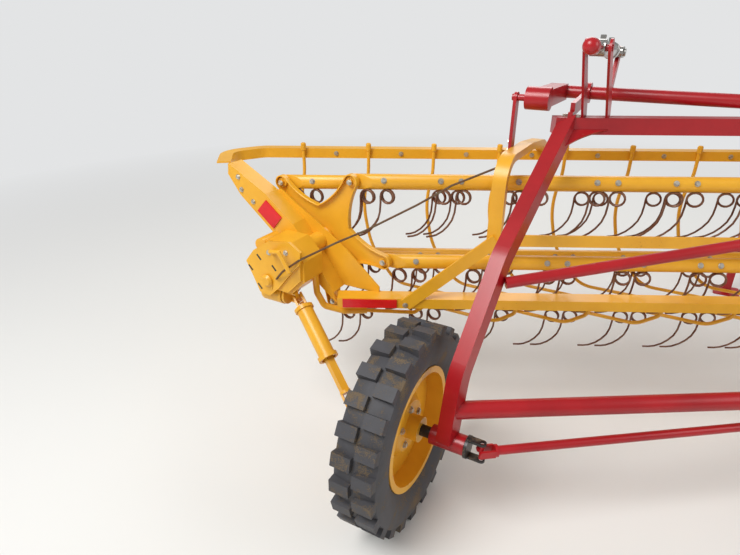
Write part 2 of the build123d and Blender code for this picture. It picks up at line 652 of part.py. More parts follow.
# Basket rails and beams
with BuildPart() as top_rail:
    with BuildLine() as rail_line:
        FilletPolyline((-700, 668, RAIL_Z), (-735, 850, RAIL_Z), (-620, RAIL_Y, RAIL_Z), (RAIL_RIGHT, RAIL_Y, RAIL_Z), radius=75)
    rail_start = rail_line.line @ 0
    rail_way = rail_line.line % 0
    with BuildSketch(Plane(origin=rail_start, x_dir=up.cross(rail_way), z_dir=rail_way)):
        with BuildLine():
            Polyline(
                (0, 0),
                (0, -RAIL_DROP),
                (RAIL_WALL, -RAIL_DROP),
                (RAIL_WALL, -RAIL_WALL),
                (RAIL_DEPTH, -RAIL_WALL),
                (RAIL_DEPTH, 0),
                close=True,
            )
        make_face()
    sweep(path=rail_line.line)
pieces["top_rail"] = top_rail

with BuildPart() as bottom_beam:
    beam_middle = sum(BOTTOM_BEAM_Y) / 2
    return_across = BOTTOM_BEAM_CORNER * travel.Y - beam_middle * SLANT
    return_end = spot(return_across, BOTTOM_BEAM_RETURN, 0)
    with BuildSketch(Plane.XY.offset(BOTTOM_BEAM_Z[0])):
        with BuildLine():
            FilletPolyline((BOTTOM_BEAM_LEFT, beam_middle), (BOTTOM_BEAM_CORNER, beam_middle), (return_end.X, return_end.Y), radius=50)
        trace(line_width=BOTTOM_BEAM_Y[1] - BOTTOM_BEAM_Y[0])
    extrude(amount=BOTTOM_BEAM_Z[1] - BOTTOM_BEAM_Z[0])
pieces["bottom_beam"] = bottom_beam

# End beams, folded plates square to the travel direction
LEFT_FOLD = ((-928, 1106), (-750, 1007), (-623, 905), (-440, 655))
LEFT_LOWER = ((-428, 616), (-578, 735), (-725, 862), (-875, 990), (-932, 1070))
RIGHT_FOLD = ((1205, 1106), (1500, 985), (1820, 890), (2000, 800), (2150, 658))
RIGHT_LOWER = ((2150, 622), (1985, 710), (1820, 780), (1500, 890), (1205, 1040))
left_axis = (LEFT_DISC_X * travel.Y - REEL_Y * SLANT, LEFT_DISC_X * SLANT + REEL_Y * travel.Y)
right_axis = (RIGHT_DISC_X * travel.Y - REEL_Y * SLANT, RIGHT_DISC_X * SLANT + REEL_Y * travel.Y)
for side, face, depth, fold, lower, axis_across in (
    ("left", LEFT_BEAM_FACE, -LEFT_BEAM_DEPTH, LEFT_FOLD, LEFT_LOWER, left_axis[0]),
    ("right", RIGHT_BEAM_FACE, RIGHT_BEAM_DEPTH, RIGHT_FOLD, RIGHT_LOWER, right_axis[0]),
):
    wall = END_BEAM_WALL if depth > 0 else -END_BEAM_WALL
    with BuildPart() as end_beam:
        with BuildSketch(facing_plane(face)):
            with BuildLine():
                Polyline(*fold, *lower, close=True)
            make_face()
        extrude(amount=wall)
        with BuildSketch(facing_plane(face)):
            with BuildLine():
                Polyline(*fold)
            trace(line_width=END_BEAM_WALL)
        extrude(amount=depth)
        with BuildSketch(facing_plane(face)):
            with BuildLine():
                Polyline(*lower)
            trace(line_width=END_BEAM_WALL)
        extrude(amount=depth * 0.3)
        with BuildSketch(facing_plane(face)):
            with Locations((axis_across, REEL_Z)):
                Circle(SNOUT_RADIUS + SEAT_GAP)
        extrude(amount=depth * 1.2, both=True, mode=Mode.SUBTRACT)
        add(bottom_beam.part, mode=Mode.SUBTRACT)
        add(top_rail.part, mode=Mode.SUBTRACT)
    pieces[side + "_end_beam"] = end_beam

# Hanger arches over the reel
for side, n in (("left", LEFT_ARCH), ("right", RIGHT_ARCH)):
    near_along = along_at(n, ARCH_NEAR_Y)
    rail_along = along_at(n, RAIL_Y)
    seat_z = RAIL_Z + ARCH_DEPTH / 2
    with BuildPart() as arch:
        arch_path = (
            (near_along, ARCH_FOOT),
            (near_along, ARCH_TOP),
            (rail_along - 300, ARCH_TOP),
            (rail_along - 110, ARCH_TOP - 18),
            (rail_along - 12, seat_z),
            (rail_along + 52, seat_z),
        )
        with BuildSketch(travel_plane(n)):
            with BuildLine():
                FilletPolyline(*arch_path, radius=[ARCH_BEND, 200, 60, 40])
            trace(line_width=ARCH_DEPTH)
        extrude(amount=ARCH_WIDTH / 2, both=True)
    pieces[side + "_arch"] = arch

with BuildPart() as mid_rail:
    with BuildSketch(Plane.YZ.offset(320)):
        with Locations((sum(MID_RAIL_Y) / 2, sum(MID_RAIL_Z) / 2)):
            Rectangle(MID_RAIL_Y[1] - MID_RAIL_Y[0], MID_RAIL_Z[1] - MID_RAIL_Z[0])
    extrude(amount=1395)
    add(pieces["left_arch"].part, mode=Mode.SUBTRACT)
    add(pieces["right_arch"].part, mode=Mode.SUBTRACT)
pieces["mid_rail"] = mid_rail

brace_y = BOTTOM_BEAM_Y[0] - 5
for side, low, high in (
    ("left", Vector(5, brace_y, 640), Vector(330, brace_y + 22, 900)),
    ("right", Vector(2025, brace_y, 640), Vector(1700, brace_y + 22, 900)),
):
    with BuildPart() as brace:
        flat_bar(low, high, 48, 10, Vector(0, 1, 0))
        add(pieces[side + "_arch"].part, mode=Mode.SUBTRACT)
        add(bottom_beam.part, mode=Mode.SUBTRACT)
    pieces[side + "_brace"] = brace

for side, n, pivot in (("left", LEFT_ARCH, ROCK_ALONG), ("right", RIGHT_ARCH, RIGHT_PIVOT_ALONG)):
    face = n - ARCH_WIDTH / 2
    pin_along = pivot - ARM_LENGTH
    pin_z = ROCK_Z + ARM_RISE
    with BuildPart() as link:
        with BuildSketch(travel_plane(face)):
            with Locations((pin_along, (ARCH_TOP + pin_z) / 2)):
                SlotCenterToCenter(pin_z - ARCH_TOP, LINK_WIDTH, rotation=90)
            with Locations((pin_along, pin_z)):
                Circle(PIN_RADIUS + TURN_GAP, mode=Mode.SUBTRACT)
        extrude(amount=-LINK_THICKNESS)
    pieces[side + "_lift_link"] = link

# Stripper rods: each in a plane square to travel, down from the top rail and up to the bottom beam
stripper_first = LEFT_DISC_X * SLANT + REEL_Y * travel.Y + SLANT * (PAIR_FIRST + PAIR_PITCH / 2)
with BuildPart() as strippers:
    for index in range(1, STRIPPER_COUNT + 1):
        t = stripper_first + index * PAIR_PITCH * SLANT
        top = across_at(t, STRIPPER_Y)
        end = across_at(t, STRIPPER_END_Y)
        rod_plane = facing_plane(t)
        with BuildLine(rod_plane) as rod_line:
            FilletPolyline(
                (top, RAIL_Z + KNOB_HEIGHT),
                (top, 1010),
                (top - 30, 860),
                (top + 16, 660),
                (top + 150, STRIPPER_UNDER),
                (end - 80, STRIPPER_UNDER),
                (end, STRIPPER_UNDER + 60),
                (end, STRIPPER_END_Z),
                radius=[250, 400, 300, 120, 90, 40],
            )
        with BuildSketch(Plane(origin=rod_line.line @ 0, z_dir=rod_line.line % 0)):
            Circle(STRIPPER_RADIUS)
        sweep(path=rod_line.line)
        rod_end = spot(end, t, STRIPPER_END_Z - 5)
        tab_depth = STRIPPER_END_Y - BOTTOM_BEAM_Y[1] + 4
        with Locations(Vector(rod_end.X, BOTTOM_BEAM_Y[1] + tab_depth / 2, rod_end.Z)):
            Box(TAB_WIDTH, tab_depth, 8)
pieces["strippers"] = strippers

# Spiders that carry the bars at both ends of the reel
for side, (axis_across, axis_along), facing in (("left", left_axis, 1), ("right", right_axis, -1)):
    plate_face = axis_along + facing * SPIDER_PLATE / 2
    spider_plane = Plane(origin=spot(axis_across, plate_face, REEL_Z), x_dir=across, z_dir=-travel)
    with BuildPart() as spider:
        with BuildSketch(spider_plane):
            Circle(SPIDER_HUB)
            for index in range(BAR_COUNT):
                angle = radians(BAR_START_ANGLE + index * 360 / BAR_COUNT)
                tip = Vector(cos(angle), sin(angle)) * REEL_RADIUS
                root = Vector(cos(angle), sin(angle)) * 30
                side_way = Vector(-sin(angle), cos(angle))
                with BuildLine():
                    Polyline(
                        root + side_way * SPIDER_ARM_ROOT,
                        tip + side_way * SPIDER_ARM_TIP,
                        tip - side_way * SPIDER_ARM_TIP,
                        root - side_way * SPIDER_ARM_ROOT,
                        close=True,
                    )
                make_face()
                with Locations(tip):
                    Circle(SPIDER_ARM_TIP)
        extrude(amount=facing * (SPIDER_PLATE + SPIDER_FLANGE))
        with BuildSketch(spider_plane.offset(facing * SPIDER_PLATE)):
            Circle(SPIDER_HUB - 6)
            for index in range(BAR_COUNT):
                angle = radians(BAR_START_ANGLE + index * 360 / BAR_COUNT)
                tip = Vector(cos(angle), sin(angle)) * REEL_RADIUS
                root = Vector(cos(angle), sin(angle)) * 30
                side_way = Vector(-sin(angle), cos(angle))
                with BuildLine():
                    Polyline(
                        root + side_way * (SPIDER_ARM_ROOT - 6),
                        tip + side_way * (SPIDER_ARM_TIP - 5),
                        tip - side_way * (SPIDER_ARM_TIP - 5),
                        root - side_way * (SPIDER_ARM_ROOT - 6),
                        close=True,
                    )
                make_face()
                with Locations(tip):
                    Circle(SPIDER_ARM_TIP - 5)
        extrude(amount=facing * (SPIDER_FLANGE + 1), mode=Mode.SUBTRACT)
        with BuildSketch(spider_plane):
            Circle(44)
        extrude(amount=facing * (SPIDER_PLATE + SPIDER_FLANGE - 2))
        with BuildSketch(spider_plane):
            Circle(SPIDER_SHAFT_RADIUS)
        extrude(amount=facing * 150 if side == "right" else facing * 100)
        with BuildSketch(spider_plane):
            with PolarLocations(REEL_RADIUS, BAR_COUNT, start_angle=BAR_START_ANGLE):
                Circle(BAR_PIN_RADIUS + 8)
                Circle(BAR_PIN_RADIUS + TURN_GAP, mode=Mode.SUBTRACT)
        extrude(amount=facing * (SPIDER_PLATE + 10))
        with BuildSketch(spider_plane.offset(-facing)):
            with PolarLocations(REEL_RADIUS, BAR_COUNT, start_angle=BAR_START_ANGLE):
                Circle(BAR_PIN_RADIUS + TURN_GAP)
        extrude(amount=facing * (SPIDER_PLATE + SPIDER_FLANGE + 2), mode=Mode.SUBTRACT)
    pieces[side + "_spider"] = spider

# Tine bars: a tube with pairs of spring tines, its ends cut parallel to the spiders
TINE_POINTS = ((-6, -20), (-12, -120), (-38, -182), (-83, -226), (-127, -243))
tine_plane = Plane(origin=(0, 0, 0), x_dir=across, z_dir=-travel)
with BuildPart() as tine:
    with BuildSketch(tine_plane):
        with BuildLine():
            Polyline(*TINE_POINTS)
        trace(line_width=TINE_WIRE)
    extrude(amount=TINE_WIRE / 2, both=True)
    with BuildSketch(tine_plane):
        with Locations(COIL_CENTRE):
            RegularPolygon(COIL_RADIUS, 6)
            RegularPolygon(COIL_BORE, 6, mode=Mode.SUBTRACT)
    extrude(amount=COIL_THICKNESS / 2, both=True)

left_cut = left_axis[1] + SPIDER_PLATE / 2 + BAR_END_GAP
right_cut = right_axis[1] - SPIDER_PLATE / 2 - BAR_END_GAP
reel_left = Vector(LEFT_DISC_X, REEL_Y, REEL_Z)
reel_right = Vector(RIGHT_DISC_X, REEL_Y, REEL_Z)
tine_roots = []
for pair in range(PAIR_COUNT):
    for shift in (-TINE_SPREAD, TINE_SPREAD):
        tine_roots.append(reel_left + Vector(PAIR_FIRST + pair * PAIR_PITCH + shift, 0, 0))
with BuildPart() as model_bar:
    round_bar(reel_left, reel_right, BAR_RADIUS)
    split(bisect_by=Plane(origin=spot(0, left_cut, 0), z_dir=travel), keep=Keep.TOP)
    split(bisect_by=Plane(origin=spot(0, right_cut, 0), z_dir=travel), keep=Keep.BOTTOM)
    with Locations(*tine_roots):
        add(tine.part)
    pin_reach = SPIDER_PLATE / 2 + SPIDER_FLANGE + 3
    round_bar(reel_left - travel * pin_reach, reel_left + travel * (BAR_END_GAP + 43), BAR_PIN_RADIUS)
    round_bar(reel_right - travel * (BAR_END_GAP + 43), reel_right + travel * pin_reach, BAR_PIN_RADIUS)
for index in range(BAR_COUNT):
    angle = radians(BAR_START_ANGLE + index * 360 / BAR_COUNT)
    with BuildPart() as bar:
        with Locations(across * REEL_RADIUS * cos(angle) + up * REEL_RADIUS * sin(angle)):
            add(model_bar.part)
    pieces[f"tine_bar_{index + 1}"] = bar

# Gearbox on the left end beam and the bearing on the right one
with BuildPart() as gearbox:
    half_width, half_height = GEARBOX_SIZE[0] / 2, GEARBOX_SIZE[1] / 2
    for face, shrink, amount in ((GEARBOX_FRONT, 0, GEARBOX_FRONT - LEFT_BEAM_FACE), (GEARBOX_FRONT, 9, COVER_THICKNESS)):
        with BuildSketch(facing_plane(face)):
            with Locations(GEARBOX_CENTRE):
                Rectangle(GEARBOX_SIZE[0] - 2 * shrink, GEARBOX_SIZE[1] - 2 * shrink)
            chamfer(vertices(), 62)
        extrude(amount=amount)
    with BuildSketch(facing_plane(LEFT_BEAM_FACE)):
        with Locations((left_axis[0], REEL_Z)):
            Circle(SNOUT_RADIUS)
    extrude(amount=-(left_axis[1] - SPIDER_FLANGE - 10 - LEFT_BEAM_FACE))
    with BuildSketch(facing_plane(GEARBOX_FRONT + 60)):
        with Locations((left_axis[0], REEL_Z)):
            Circle(SPIDER_SHAFT_RADIUS + TURN_GAP)
    extrude(amount=-300, mode=Mode.SUBTRACT)
    input_joint = spot(*INPUT_JOINT)
    round_bar(input_joint - across * 150, input_joint - across * (YOKE_REACH + 14), 42)
    round_bar(input_joint - across * 100, input_joint - across * YOKE_REACH, 22)
    round_bar(spot(-600, GEARBOX_FRONT + 60, 700), spot(-640, INPUT_JOINT[1], INPUT_JOINT[2]), 36)
    round_bar(spot(-681, GEARBOX_FRONT - 6, 851), spot(-681, LEFT_BEAM_FACE - 30, 851), 26)
    with BuildSketch(facing_plane(GEARBOX_FRONT - COVER_THICKNESS)):
        with Locations((-654, 705)):
            RectangleRounded(58, 52, 12)
    extrude(amount=12)
    fork(input_joint, across, fork_pin, OUTER_EARS, YOKE_REACH, CROSS_PIN)
pieces["gearbox"] = gearbox

with BuildPart() as reel_bearing:
    with BuildSketch(facing_plane(RIGHT_BEAM_FACE)):
        with Locations((right_axis[0], REEL_Z)):
            Circle(52)
            Circle(SPIDER_SHAFT_RADIUS + TURN_GAP, mode=Mode.SUBTRACT)
    extrude(amount=-26)
    with BuildSketch(facing_plane(RIGHT_BEAM_FACE)):
        with Locations((right_axis[0], REEL_Z)):
            Circle(SNOUT_RADIUS)
            Circle(SPIDER_SHAFT_RADIUS + TURN_GAP, mode=Mode.SUBTRACT)
    extrude(amount=RIGHT_BEAM_FACE - right_axis[1] - SPIDER_FLANGE - 12)
pieces["reel_bearing"] = reel_bearing

# Small fittings at the left end: guard pipe, reflectors, shift handle and its cord
with BuildPart() as guard_pipe:
    with BuildLine() as pipe_line:
        FilletPolyline(
            spot(-508, 217, 735), spot(-502, 217, 650), (-313, GUARD_Y, 596), (-232, GUARD_Y, 574), (-143, GUARD_Y, 578),
            radius=30,
        )
    with BuildSketch(Plane(origin=pipe_line.line @ 0, z_dir=pipe_line.line % 0)):
        Circle(GUARD_RADIUS)
    sweep(path=pipe_line.line)
    with BuildLine() as thin_line:
        FilletPolyline((-150, GUARD_Y, 578), (45, GUARD_Y, 572), (83, GUARD_Y, 600), (83, GUARD_Y, 630), radius=20)
    with BuildSketch(Plane(origin=thin_line.line @ 0, z_dir=thin_line.line % 0)):
        Circle(STRIPPER_RADIUS)
    sweep(path=thin_line.line)
    add(gearbox.part, mode=Mode.SUBTRACT)
    add(bottom_beam.part, mode=Mode.SUBTRACT)
    add(pieces["left_end_beam"].part, mode=Mode.SUBTRACT)
pieces["guard_pipe"] = guard_pipe

with BuildPart() as reflectors:
    reflector_face = BOTTOM_BEAM_Y[0] - SEAT_GAP
    with BuildSketch(Plane.XZ.offset(-reflector_face)):
        with Locations((-131, 642)):
            Rectangle(208, 34)
    extrude(amount=REFLECTOR)
    with BuildSketch(facing_plane(LEFT_BEAM_FACE - SEAT_GAP)):
        with BuildLine():
            Polyline((-745, 985), (-672, 925), (-715, 873), (-790, 936), close=True)
        make_face()
    extrude(amount=REFLECTOR)
pieces["reflectors"] = reflectors

cover_face = GEARBOX_FRONT - COVER_THICKNESS
with BuildPart() as shift_handle:
    with BuildLine() as handle_line:
        FilletPolyline(
            spot(-640, cover_face - SEAT_GAP, 826), spot(-640, 86, 826), spot(-613, 86, 856), spot(-546, 84, 779), radius=10,
        )
    with BuildSketch(Plane(origin=handle_line.line @ 0, z_dir=handle_line.line % 0)):
        Circle(HANDLE_RADIUS)
    sweep(path=handle_line.line)
pieces["shift_handle"] = shift_handle

with BuildPart() as trip_rope:
    with BuildLine() as rope_line:
        FilletPolyline(
            spot(-598, 92, 736), spot(-549, 72, 786), spot(-490, 98, 834), spot(-392, 200, 888), spot(-307, 263, 930),
            spot(-151, 369, 1024), spot(-52, 437, 1092), spot(LEFT_ARCH - ARCH_WIDTH / 2 - SEAT_GAP, 522, 1154), radius=30,
        )
    with BuildSketch(Plane(origin=rope_line.line @ 0, z_dir=rope_line.line % 0)):
        RegularPolygon(ROPE_RADIUS, 6)
    sweep(path=rope_line.line)
    add(pieces["left_arch"].part, mode=Mode.SUBTRACT)
pieces["trip_rope"] = trip_rope

# Telescoping drive shaft between the gearbox and the left axle
wheel_joint = spot(*WHEEL_JOINT)
shaft_way = (wheel_joint - input_joint).normalized()
with BuildPart() as drive_tube:
    knuckle(input_joint, -shaft_way, fork_pin, YOKE_REACH)
    tube_start = input_joint + shaft_way * (YOKE_REACH + 8)
    tube_end = input_joint + shaft_way * DRIVE_TUBE_LENGTH
    round_bar(tube_start, tube_end, DRIVE_TUBE_RADIUS)
    round_bar(tube_end - shaft_way * 16, tube_end, DRIVE_TUBE_RADIUS + 7)
    round_bar(tube_start, tube_start + shaft_way * 14, DRIVE_TUBE_RADIUS + 6)
    round_bar(tube_start + shaft_way * 20, tube_end + shaft_way, DRIVE_TUBE_RADIUS - DRIVE_TUBE_WALL, mode=Mode.SUBTRACT)
pieces["drive_tube"] = drive_tube

with BuildPart() as drive_bar:
    bar_inner = wheel_joint - shaft_way * DRIVE_BAR_INNER_END
    bar_outer = wheel_joint - shaft_way * (YOKE_REACH + 8)
    flat_bar(bar_inner, bar_outer, DRIVE_BAR_WIDTH, DRIVE_BAR_WIDTH, up)
    knuckle(wheel_joint, shaft_way, fork_pin, YOKE_REACH)
pieces["drive_bar"] = drive_bar

overall = Compound([builder.part for builder in pieces.values()]).bounding_box()
to_origin = Location((-overall.center().X, -overall.center().Y, -overall.min.Z))

if __name__ == "__main__":
    os.makedirs("parts", exist_ok=True)
    for name, builder in pieces.items():
        piece = builder.part.moved(to_origin)
        piece.label = name
        export_step(piece, f"parts/{name}.step")
    print("origin moved by", to_origin.position)
    print("overall size", overall.size)
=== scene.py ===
"""Looks of a towed side-delivery bar rake: glossy yellow basket and reel under a red frame."""

import logging
import math
from dataclasses import dataclass, field
from enum import Enum
from typing import Any, Iterable, Sequence

import bmesh
import bpy
from mathutils import Matrix, Vector

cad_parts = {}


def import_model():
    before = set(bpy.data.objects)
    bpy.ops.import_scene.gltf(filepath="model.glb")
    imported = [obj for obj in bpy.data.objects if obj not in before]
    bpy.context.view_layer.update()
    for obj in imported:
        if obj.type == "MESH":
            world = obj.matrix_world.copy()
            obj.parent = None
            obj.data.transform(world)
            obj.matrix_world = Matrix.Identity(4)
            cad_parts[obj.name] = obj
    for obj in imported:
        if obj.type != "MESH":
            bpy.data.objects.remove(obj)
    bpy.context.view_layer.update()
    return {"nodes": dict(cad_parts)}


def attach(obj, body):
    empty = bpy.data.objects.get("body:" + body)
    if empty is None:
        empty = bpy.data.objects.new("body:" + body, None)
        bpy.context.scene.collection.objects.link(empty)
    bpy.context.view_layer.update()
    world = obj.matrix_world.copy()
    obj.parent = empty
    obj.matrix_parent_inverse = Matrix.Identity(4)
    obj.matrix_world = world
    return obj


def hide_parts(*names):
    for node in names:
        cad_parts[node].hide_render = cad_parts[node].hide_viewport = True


logging.basicConfig(level=logging.INFO, format="%(message)s")
log = logging.getLogger("bar_rake")

Pair = tuple[float, float]
Triple = tuple[float, float, float]
Colour = tuple[float, float, float, float]
Ring = Sequence[bmesh.types.BMVert]

# Millimetres in a metre: sizes are written in millimetres and built in metres
MM = 1000.0
# Directions and the place of the working origin, as in the CAD
TRAVEL = math.radians(28.0)
ACROSS = Vector((math.cos(TRAVEL), -math.sin(TRAVEL), 0.0))
ALONG = Vector((math.sin(TRAVEL), math.cos(TRAVEL), 0.0))
UP = Vector((0.0, 0.0, 1.0))
SHIFT = Vector((-0.98881, -1.01169, 0.0))
# Square to the top rail, toward the camera's side
NEAR = Vector((0.0, -1.0, 0.0))
# Folds sharper than this keep a crisp edge in shading
CREASE = math.radians(35.0)
# Sockets of a Mix node set to colours, whose names repeat for each kind of value
MIX_FACTOR, MIX_FIRST, MIX_SECOND, MIX_RESULT = 0, 6, 7, 2


def place(x: float, y: float, z: float) -> Vector:
    """Point of the CAD's working frame, given in millimetres."""
    return Vector((x, y, z)) / MM + SHIFT


def spot(n: float, t: float, z: float) -> Vector:
    """Point n millimetres across the travel direction, t along it and z up."""
    return (ACROSS * n + ALONG * t + UP * z) / MM + SHIFT


def linear(code: str) -> Colour:
    """Turn an sRGB hex colour to linear values by the standard's own curve.

    Args:
        code: Colour such as "#EDBE45".

    Returns:
        Red, green, blue and alpha.
    """
    values = [int(code[i:i + 2], 16) / 255.0 for i in (1, 3, 5)]
    red, green, blue = (v / 12.92 if v <= 0.04045 else ((v + 0.055) / 1.055) ** 2.4 for v in values)
    return red, green, blue, 1.0


def add_node(tree: bpy.types.NodeTree, kind: str, settings: dict[str, Any] | None = None,
             inputs: dict[Any, Any] | None = None, links: dict[Any, Any] | None = None) -> bpy.types.Node:
    """Add one node with its settings, its input values and what is linked into it.

    Args:
        tree: Node tree that gets the node.
        kind: Type name of the node.
        settings: Attributes of the node.
        inputs: Values by input name or index.
        links: Output sockets by input name or index.

    Returns:
        The new node.
    """
    node = tree.nodes.new(kind)
    for name, value in (settings or {}).items():
        setattr(node, name, value)
    for key, value in (inputs or {}).items():
        node.inputs[key].default_value = value
    for key, socket in (links or {}).items():
        tree.links.new(socket, node.inputs[key])
    return node


def blank_tree(block: bpy.types.Material | bpy.types.World) -> bpy.types.NodeTree:
    """Turn on the nodes of a material or world and empty its tree.

    Args:
        block: Material or world.

    Returns:
        Its empty node tree.
    """
    block.use_nodes = True
    block.node_tree.nodes.clear()
    return block.node_tree


def add_object(name: str, data: bpy.types.ID) -> bpy.types.Object:
    """Put an object with its data into the scene.

    Args:
        name: Name of the object.
        data: Mesh, curve, lamp or camera.

    Returns:
        The new object.
    """
    obj = bpy.data.objects.new(name, data)
    bpy.context.scene.collection.objects.link(obj)
    return obj


class Stain(Enum):
    """What lies on a surface besides its own coat."""

    DUST = "#B9A784"
    RUST = "#6E3B1E"
    SOIL = "#6B5A44"


@dataclass(frozen=True)
class Finish:
    """Surface of one kind: its coat, the stain that breaks it up and how rough both are.

    The coat turns to its shade in soft patches. The stain lies where the patches and a fine grain
    add up to the most, and the same sum gives the surface its relief.
    """

    name: str
    slot: str
    coat: str
    shade: str
    stain: Stain
    coat_rough: float
    stain_rough: float
    metallic: float = 0.0
    stain_share: float = 0.54
    patch_size_mm: float = 120.0
    patch_detail: float = 8.0
    patch_rough: float = 0.62
    shade_range: Pair = (0.35, 0.7)
    grain_mm: float = 6.0
    grain_detail: float = 3.0
    grain_rough: float = 0.6
    grain_weight: float = 0.55
    # The sum at which the stain starts, were its share none, and how far that comes down with its share
    edge_top: float = 1.1
    edge_drop: float = 0.5
    edge_blur: Pair = (0.05, 0.07)
    bump_mm: float = 0.25
    bump_strength: float = 0.35

    def material(self) -> bpy.types.Material:
        """Build the material once, or give the one that is there.

        Returns:
            The finish as a material.
        """
        if self.name in bpy.data.materials:
            return bpy.data.materials[self.name]
        made = bpy.data.materials.new(self.name)
        tree = blank_tree(made)
        coords = add_node(tree, "ShaderNodeTexCoord").outputs["Object"]
        cloud = add_node(tree, "ShaderNodeTexNoise", {},
                         {"Scale": MM / self.patch_size_mm, "Detail": self.patch_detail,
                          "Roughness": self.patch_rough}, {"Vector": coords})
        speck = add_node(tree, "ShaderNodeTexNoise", {},
                         {"Scale": MM / self.grain_mm, "Detail": self.grain_detail,
                          "Roughness": self.grain_rough}, {"Vector": coords})
        tone = add_node(tree, "ShaderNodeMapRange", {},
                        {"From Min": self.shade_range[0], "From Max": self.shade_range[1]},
                        {"Value": cloud.outputs["Fac"]})
        coat = add_node(tree, "ShaderNodeMix", {"data_type": "RGBA"},
                        {MIX_FIRST: linear(self.coat), MIX_SECOND: linear(self.shade)},
                        {MIX_FACTOR: tone.outputs["Result"]})
        both = add_node(tree, "ShaderNodeMath", {"operation": "MULTIPLY_ADD"}, {1: self.grain_weight},
                        {0: speck.outputs["Fac"], 2: cloud.outputs["Fac"]})
        edge = self.edge_top - self.edge_drop * self.stain_share
        mask = add_node(tree, "ShaderNodeMapRange", {},
                        {"From Min": edge - self.edge_blur[0], "From Max": edge + self.edge_blur[1]},
                        {"Value": both.outputs[0]})
        colour = add_node(tree, "ShaderNodeMix", {"data_type": "RGBA"},
                          {MIX_SECOND: linear(self.stain.value)},
                          {MIX_FACTOR: mask.outputs["Result"], MIX_FIRST: coat.outputs[MIX_RESULT]})
        rough = add_node(tree, "ShaderNodeMapRange", {},
                         {"To Min": self.coat_rough, "To Max": self.stain_rough},
                         {"Value": mask.outputs["Result"]})
        bump = add_node(tree, "ShaderNodeBump", {},
                        {"Strength": self.bump_strength, "Distance": self.bump_mm / MM},
                        {"Height": both.outputs[0]})
        shader = add_node(tree, "ShaderNodeBsdfPrincipled", {}, {"Metallic": self.metallic},
                          {"Base Color": colour.outputs[MIX_RESULT], "Roughness": rough.outputs["Result"],
                           "Normal": bump.outputs["Normal"]})
        add_node(tree, "ShaderNodeOutputMaterial", {}, {}, {"Surface": shader.outputs["BSDF"]})
        return made


# Old farm enamel, brushed on thick: clean and glossy, with dull spots where hay rubs
YELLOW = Finish("glossy_yellow_enamel", "yellow_paint", "#EDB02C", "#DFA022", Stain.RUST,
                coat_rough=0.34, stain_rough=0.6, stain_share=0.14, patch_size_mm=220.0, grain_mm=9.0,
                bump_mm=0.12)
# The same enamel in red, with a higher gloss
RED = Finish("glossy_red_enamel", "red_paint", "#AE171E", "#961017", Stain.DUST,
             coat_rough=0.3, stain_rough=0.5, stain_share=0.1, patch_size_mm=240.0, grain_mm=9.0,
             bump_mm=0.1)
# Tyre rubber, greyed by the weather, with dry soil left in its low places
RUBBER = Finish("weathered_tyre_rubber", "tyre", "#47464A", "#3A393B", Stain.SOIL,
                coat_rough=0.62, stain_rough=0.9, stain_share=0.46, patch_size_mm=70.0, grain_mm=4.0,
                bump_mm=0.5)
# Black paint under grease that holds soil, dark and half glossy; on the cover's slots the same black is
# painted shade for their recesses
BLACK = Finish("greasy_black_paint", "black_paint", "#1E1D1E", "#2A2726", Stain.SOIL,
               coat_rough=0.36, stain_rough=0.8, stain_share=0.44, patch_size_mm=50.0)
# Drawn spring wire with a thin even coat of rust
WIRE = Finish("rusty_spring_wire", "bare_steel", "#86604A", "#6A4737", Stain.RUST,
              coat_rough=0.45, stain_rough=0.75, metallic=0.4, patch_size_mm=40.0, grain_mm=3.0)
# Turned and ground steel, dulled by the weather
STEEL = Finish("dull_machined_steel", "bare_steel", "#B9B8B4", "#9D9A94", Stain.RUST,
               coat_rough=0.26, stain_rough=0.55, metallic=0.9, stain_share=0.3, patch_size_mm=60.0,
               grain_mm=3.0)
# Zinc-plated bolts, pale against the paint
ZINC = Finish("zinc_plated_steel", "bare_steel", "#D2CFC4", "#AEA89A", Stain.RUST,
              coat_rough=0.34, stain_rough=0.6, metallic=0.75, stain_share=0.4, patch_size_mm=18.0,
              grain_mm=2.0)
# Laid brown cord, dull and coarse
CORD = Finish("laid_brown_cord", "rope", "#6B4A30", "#54381F", Stain.SOIL,
              coat_rough=0.85, stain_rough=0.95, patch_size_mm=25.0, grain_mm=2.0, bump_mm=0.5)
# Red reflecting tape, bright and smooth, with a grain that is coarser than its real cells so that it shows
TAPE = Finish("red_reflecting_tape", "reflector", "#DC1A22", "#C8141B", Stain.DUST,
              coat_rough=0.2, stain_rough=0.45, stain_share=0.08, patch_size_mm=90.0, grain_mm=5.0)

# Finish of each CAD node that is shown; a node that isn't named here has the frame's red
NODE_FINISHES: tuple[tuple[Finish, tuple[str, ...]], ...] = (
    (YELLOW, ("top_rail", "bottom_beam", "mid_rail", "left_end_beam", "right_end_beam", "strippers",
              "reel_bearing", "left_arch", "right_arch", "left_brace", "right_brace", "guard_pipe",
              "gearbox", "drive_tube", "drive_bar", "left_rim", "right_rim")),
    (RUBBER, ("left_tyre", "right_tyre")),
    (BLACK, ("left_axle", "right_axle")),
    (STEEL, ("cylinder_rod", "cylinder_barrel")),
    (CORD, ("trip_rope",)),
    (TAPE, ("reflectors",)),
)


def dress(obj: bpy.types.Object, finish: Finish) -> None:
    """Give an object one finish in all of its material slots.

    Args:
        obj: Piece or CAD node.
        finish: Its finish.
    """
    if not obj.material_slots:
        obj.data.materials.append(finish.material())
    for entry in obj.material_slots:
        entry.material = finish.material()


def dress_nodes(nodes: dict[str, bpy.types.Object]) -> None:
    """Give every CAD node its finish.

    Args:
        nodes: The frame's nodes by name.
    """
    chosen = {name: finish for finish, names in NODE_FINISHES for name in names}
    for name, obj in nodes.items():
        dress(obj, chosen.get(name, RED))


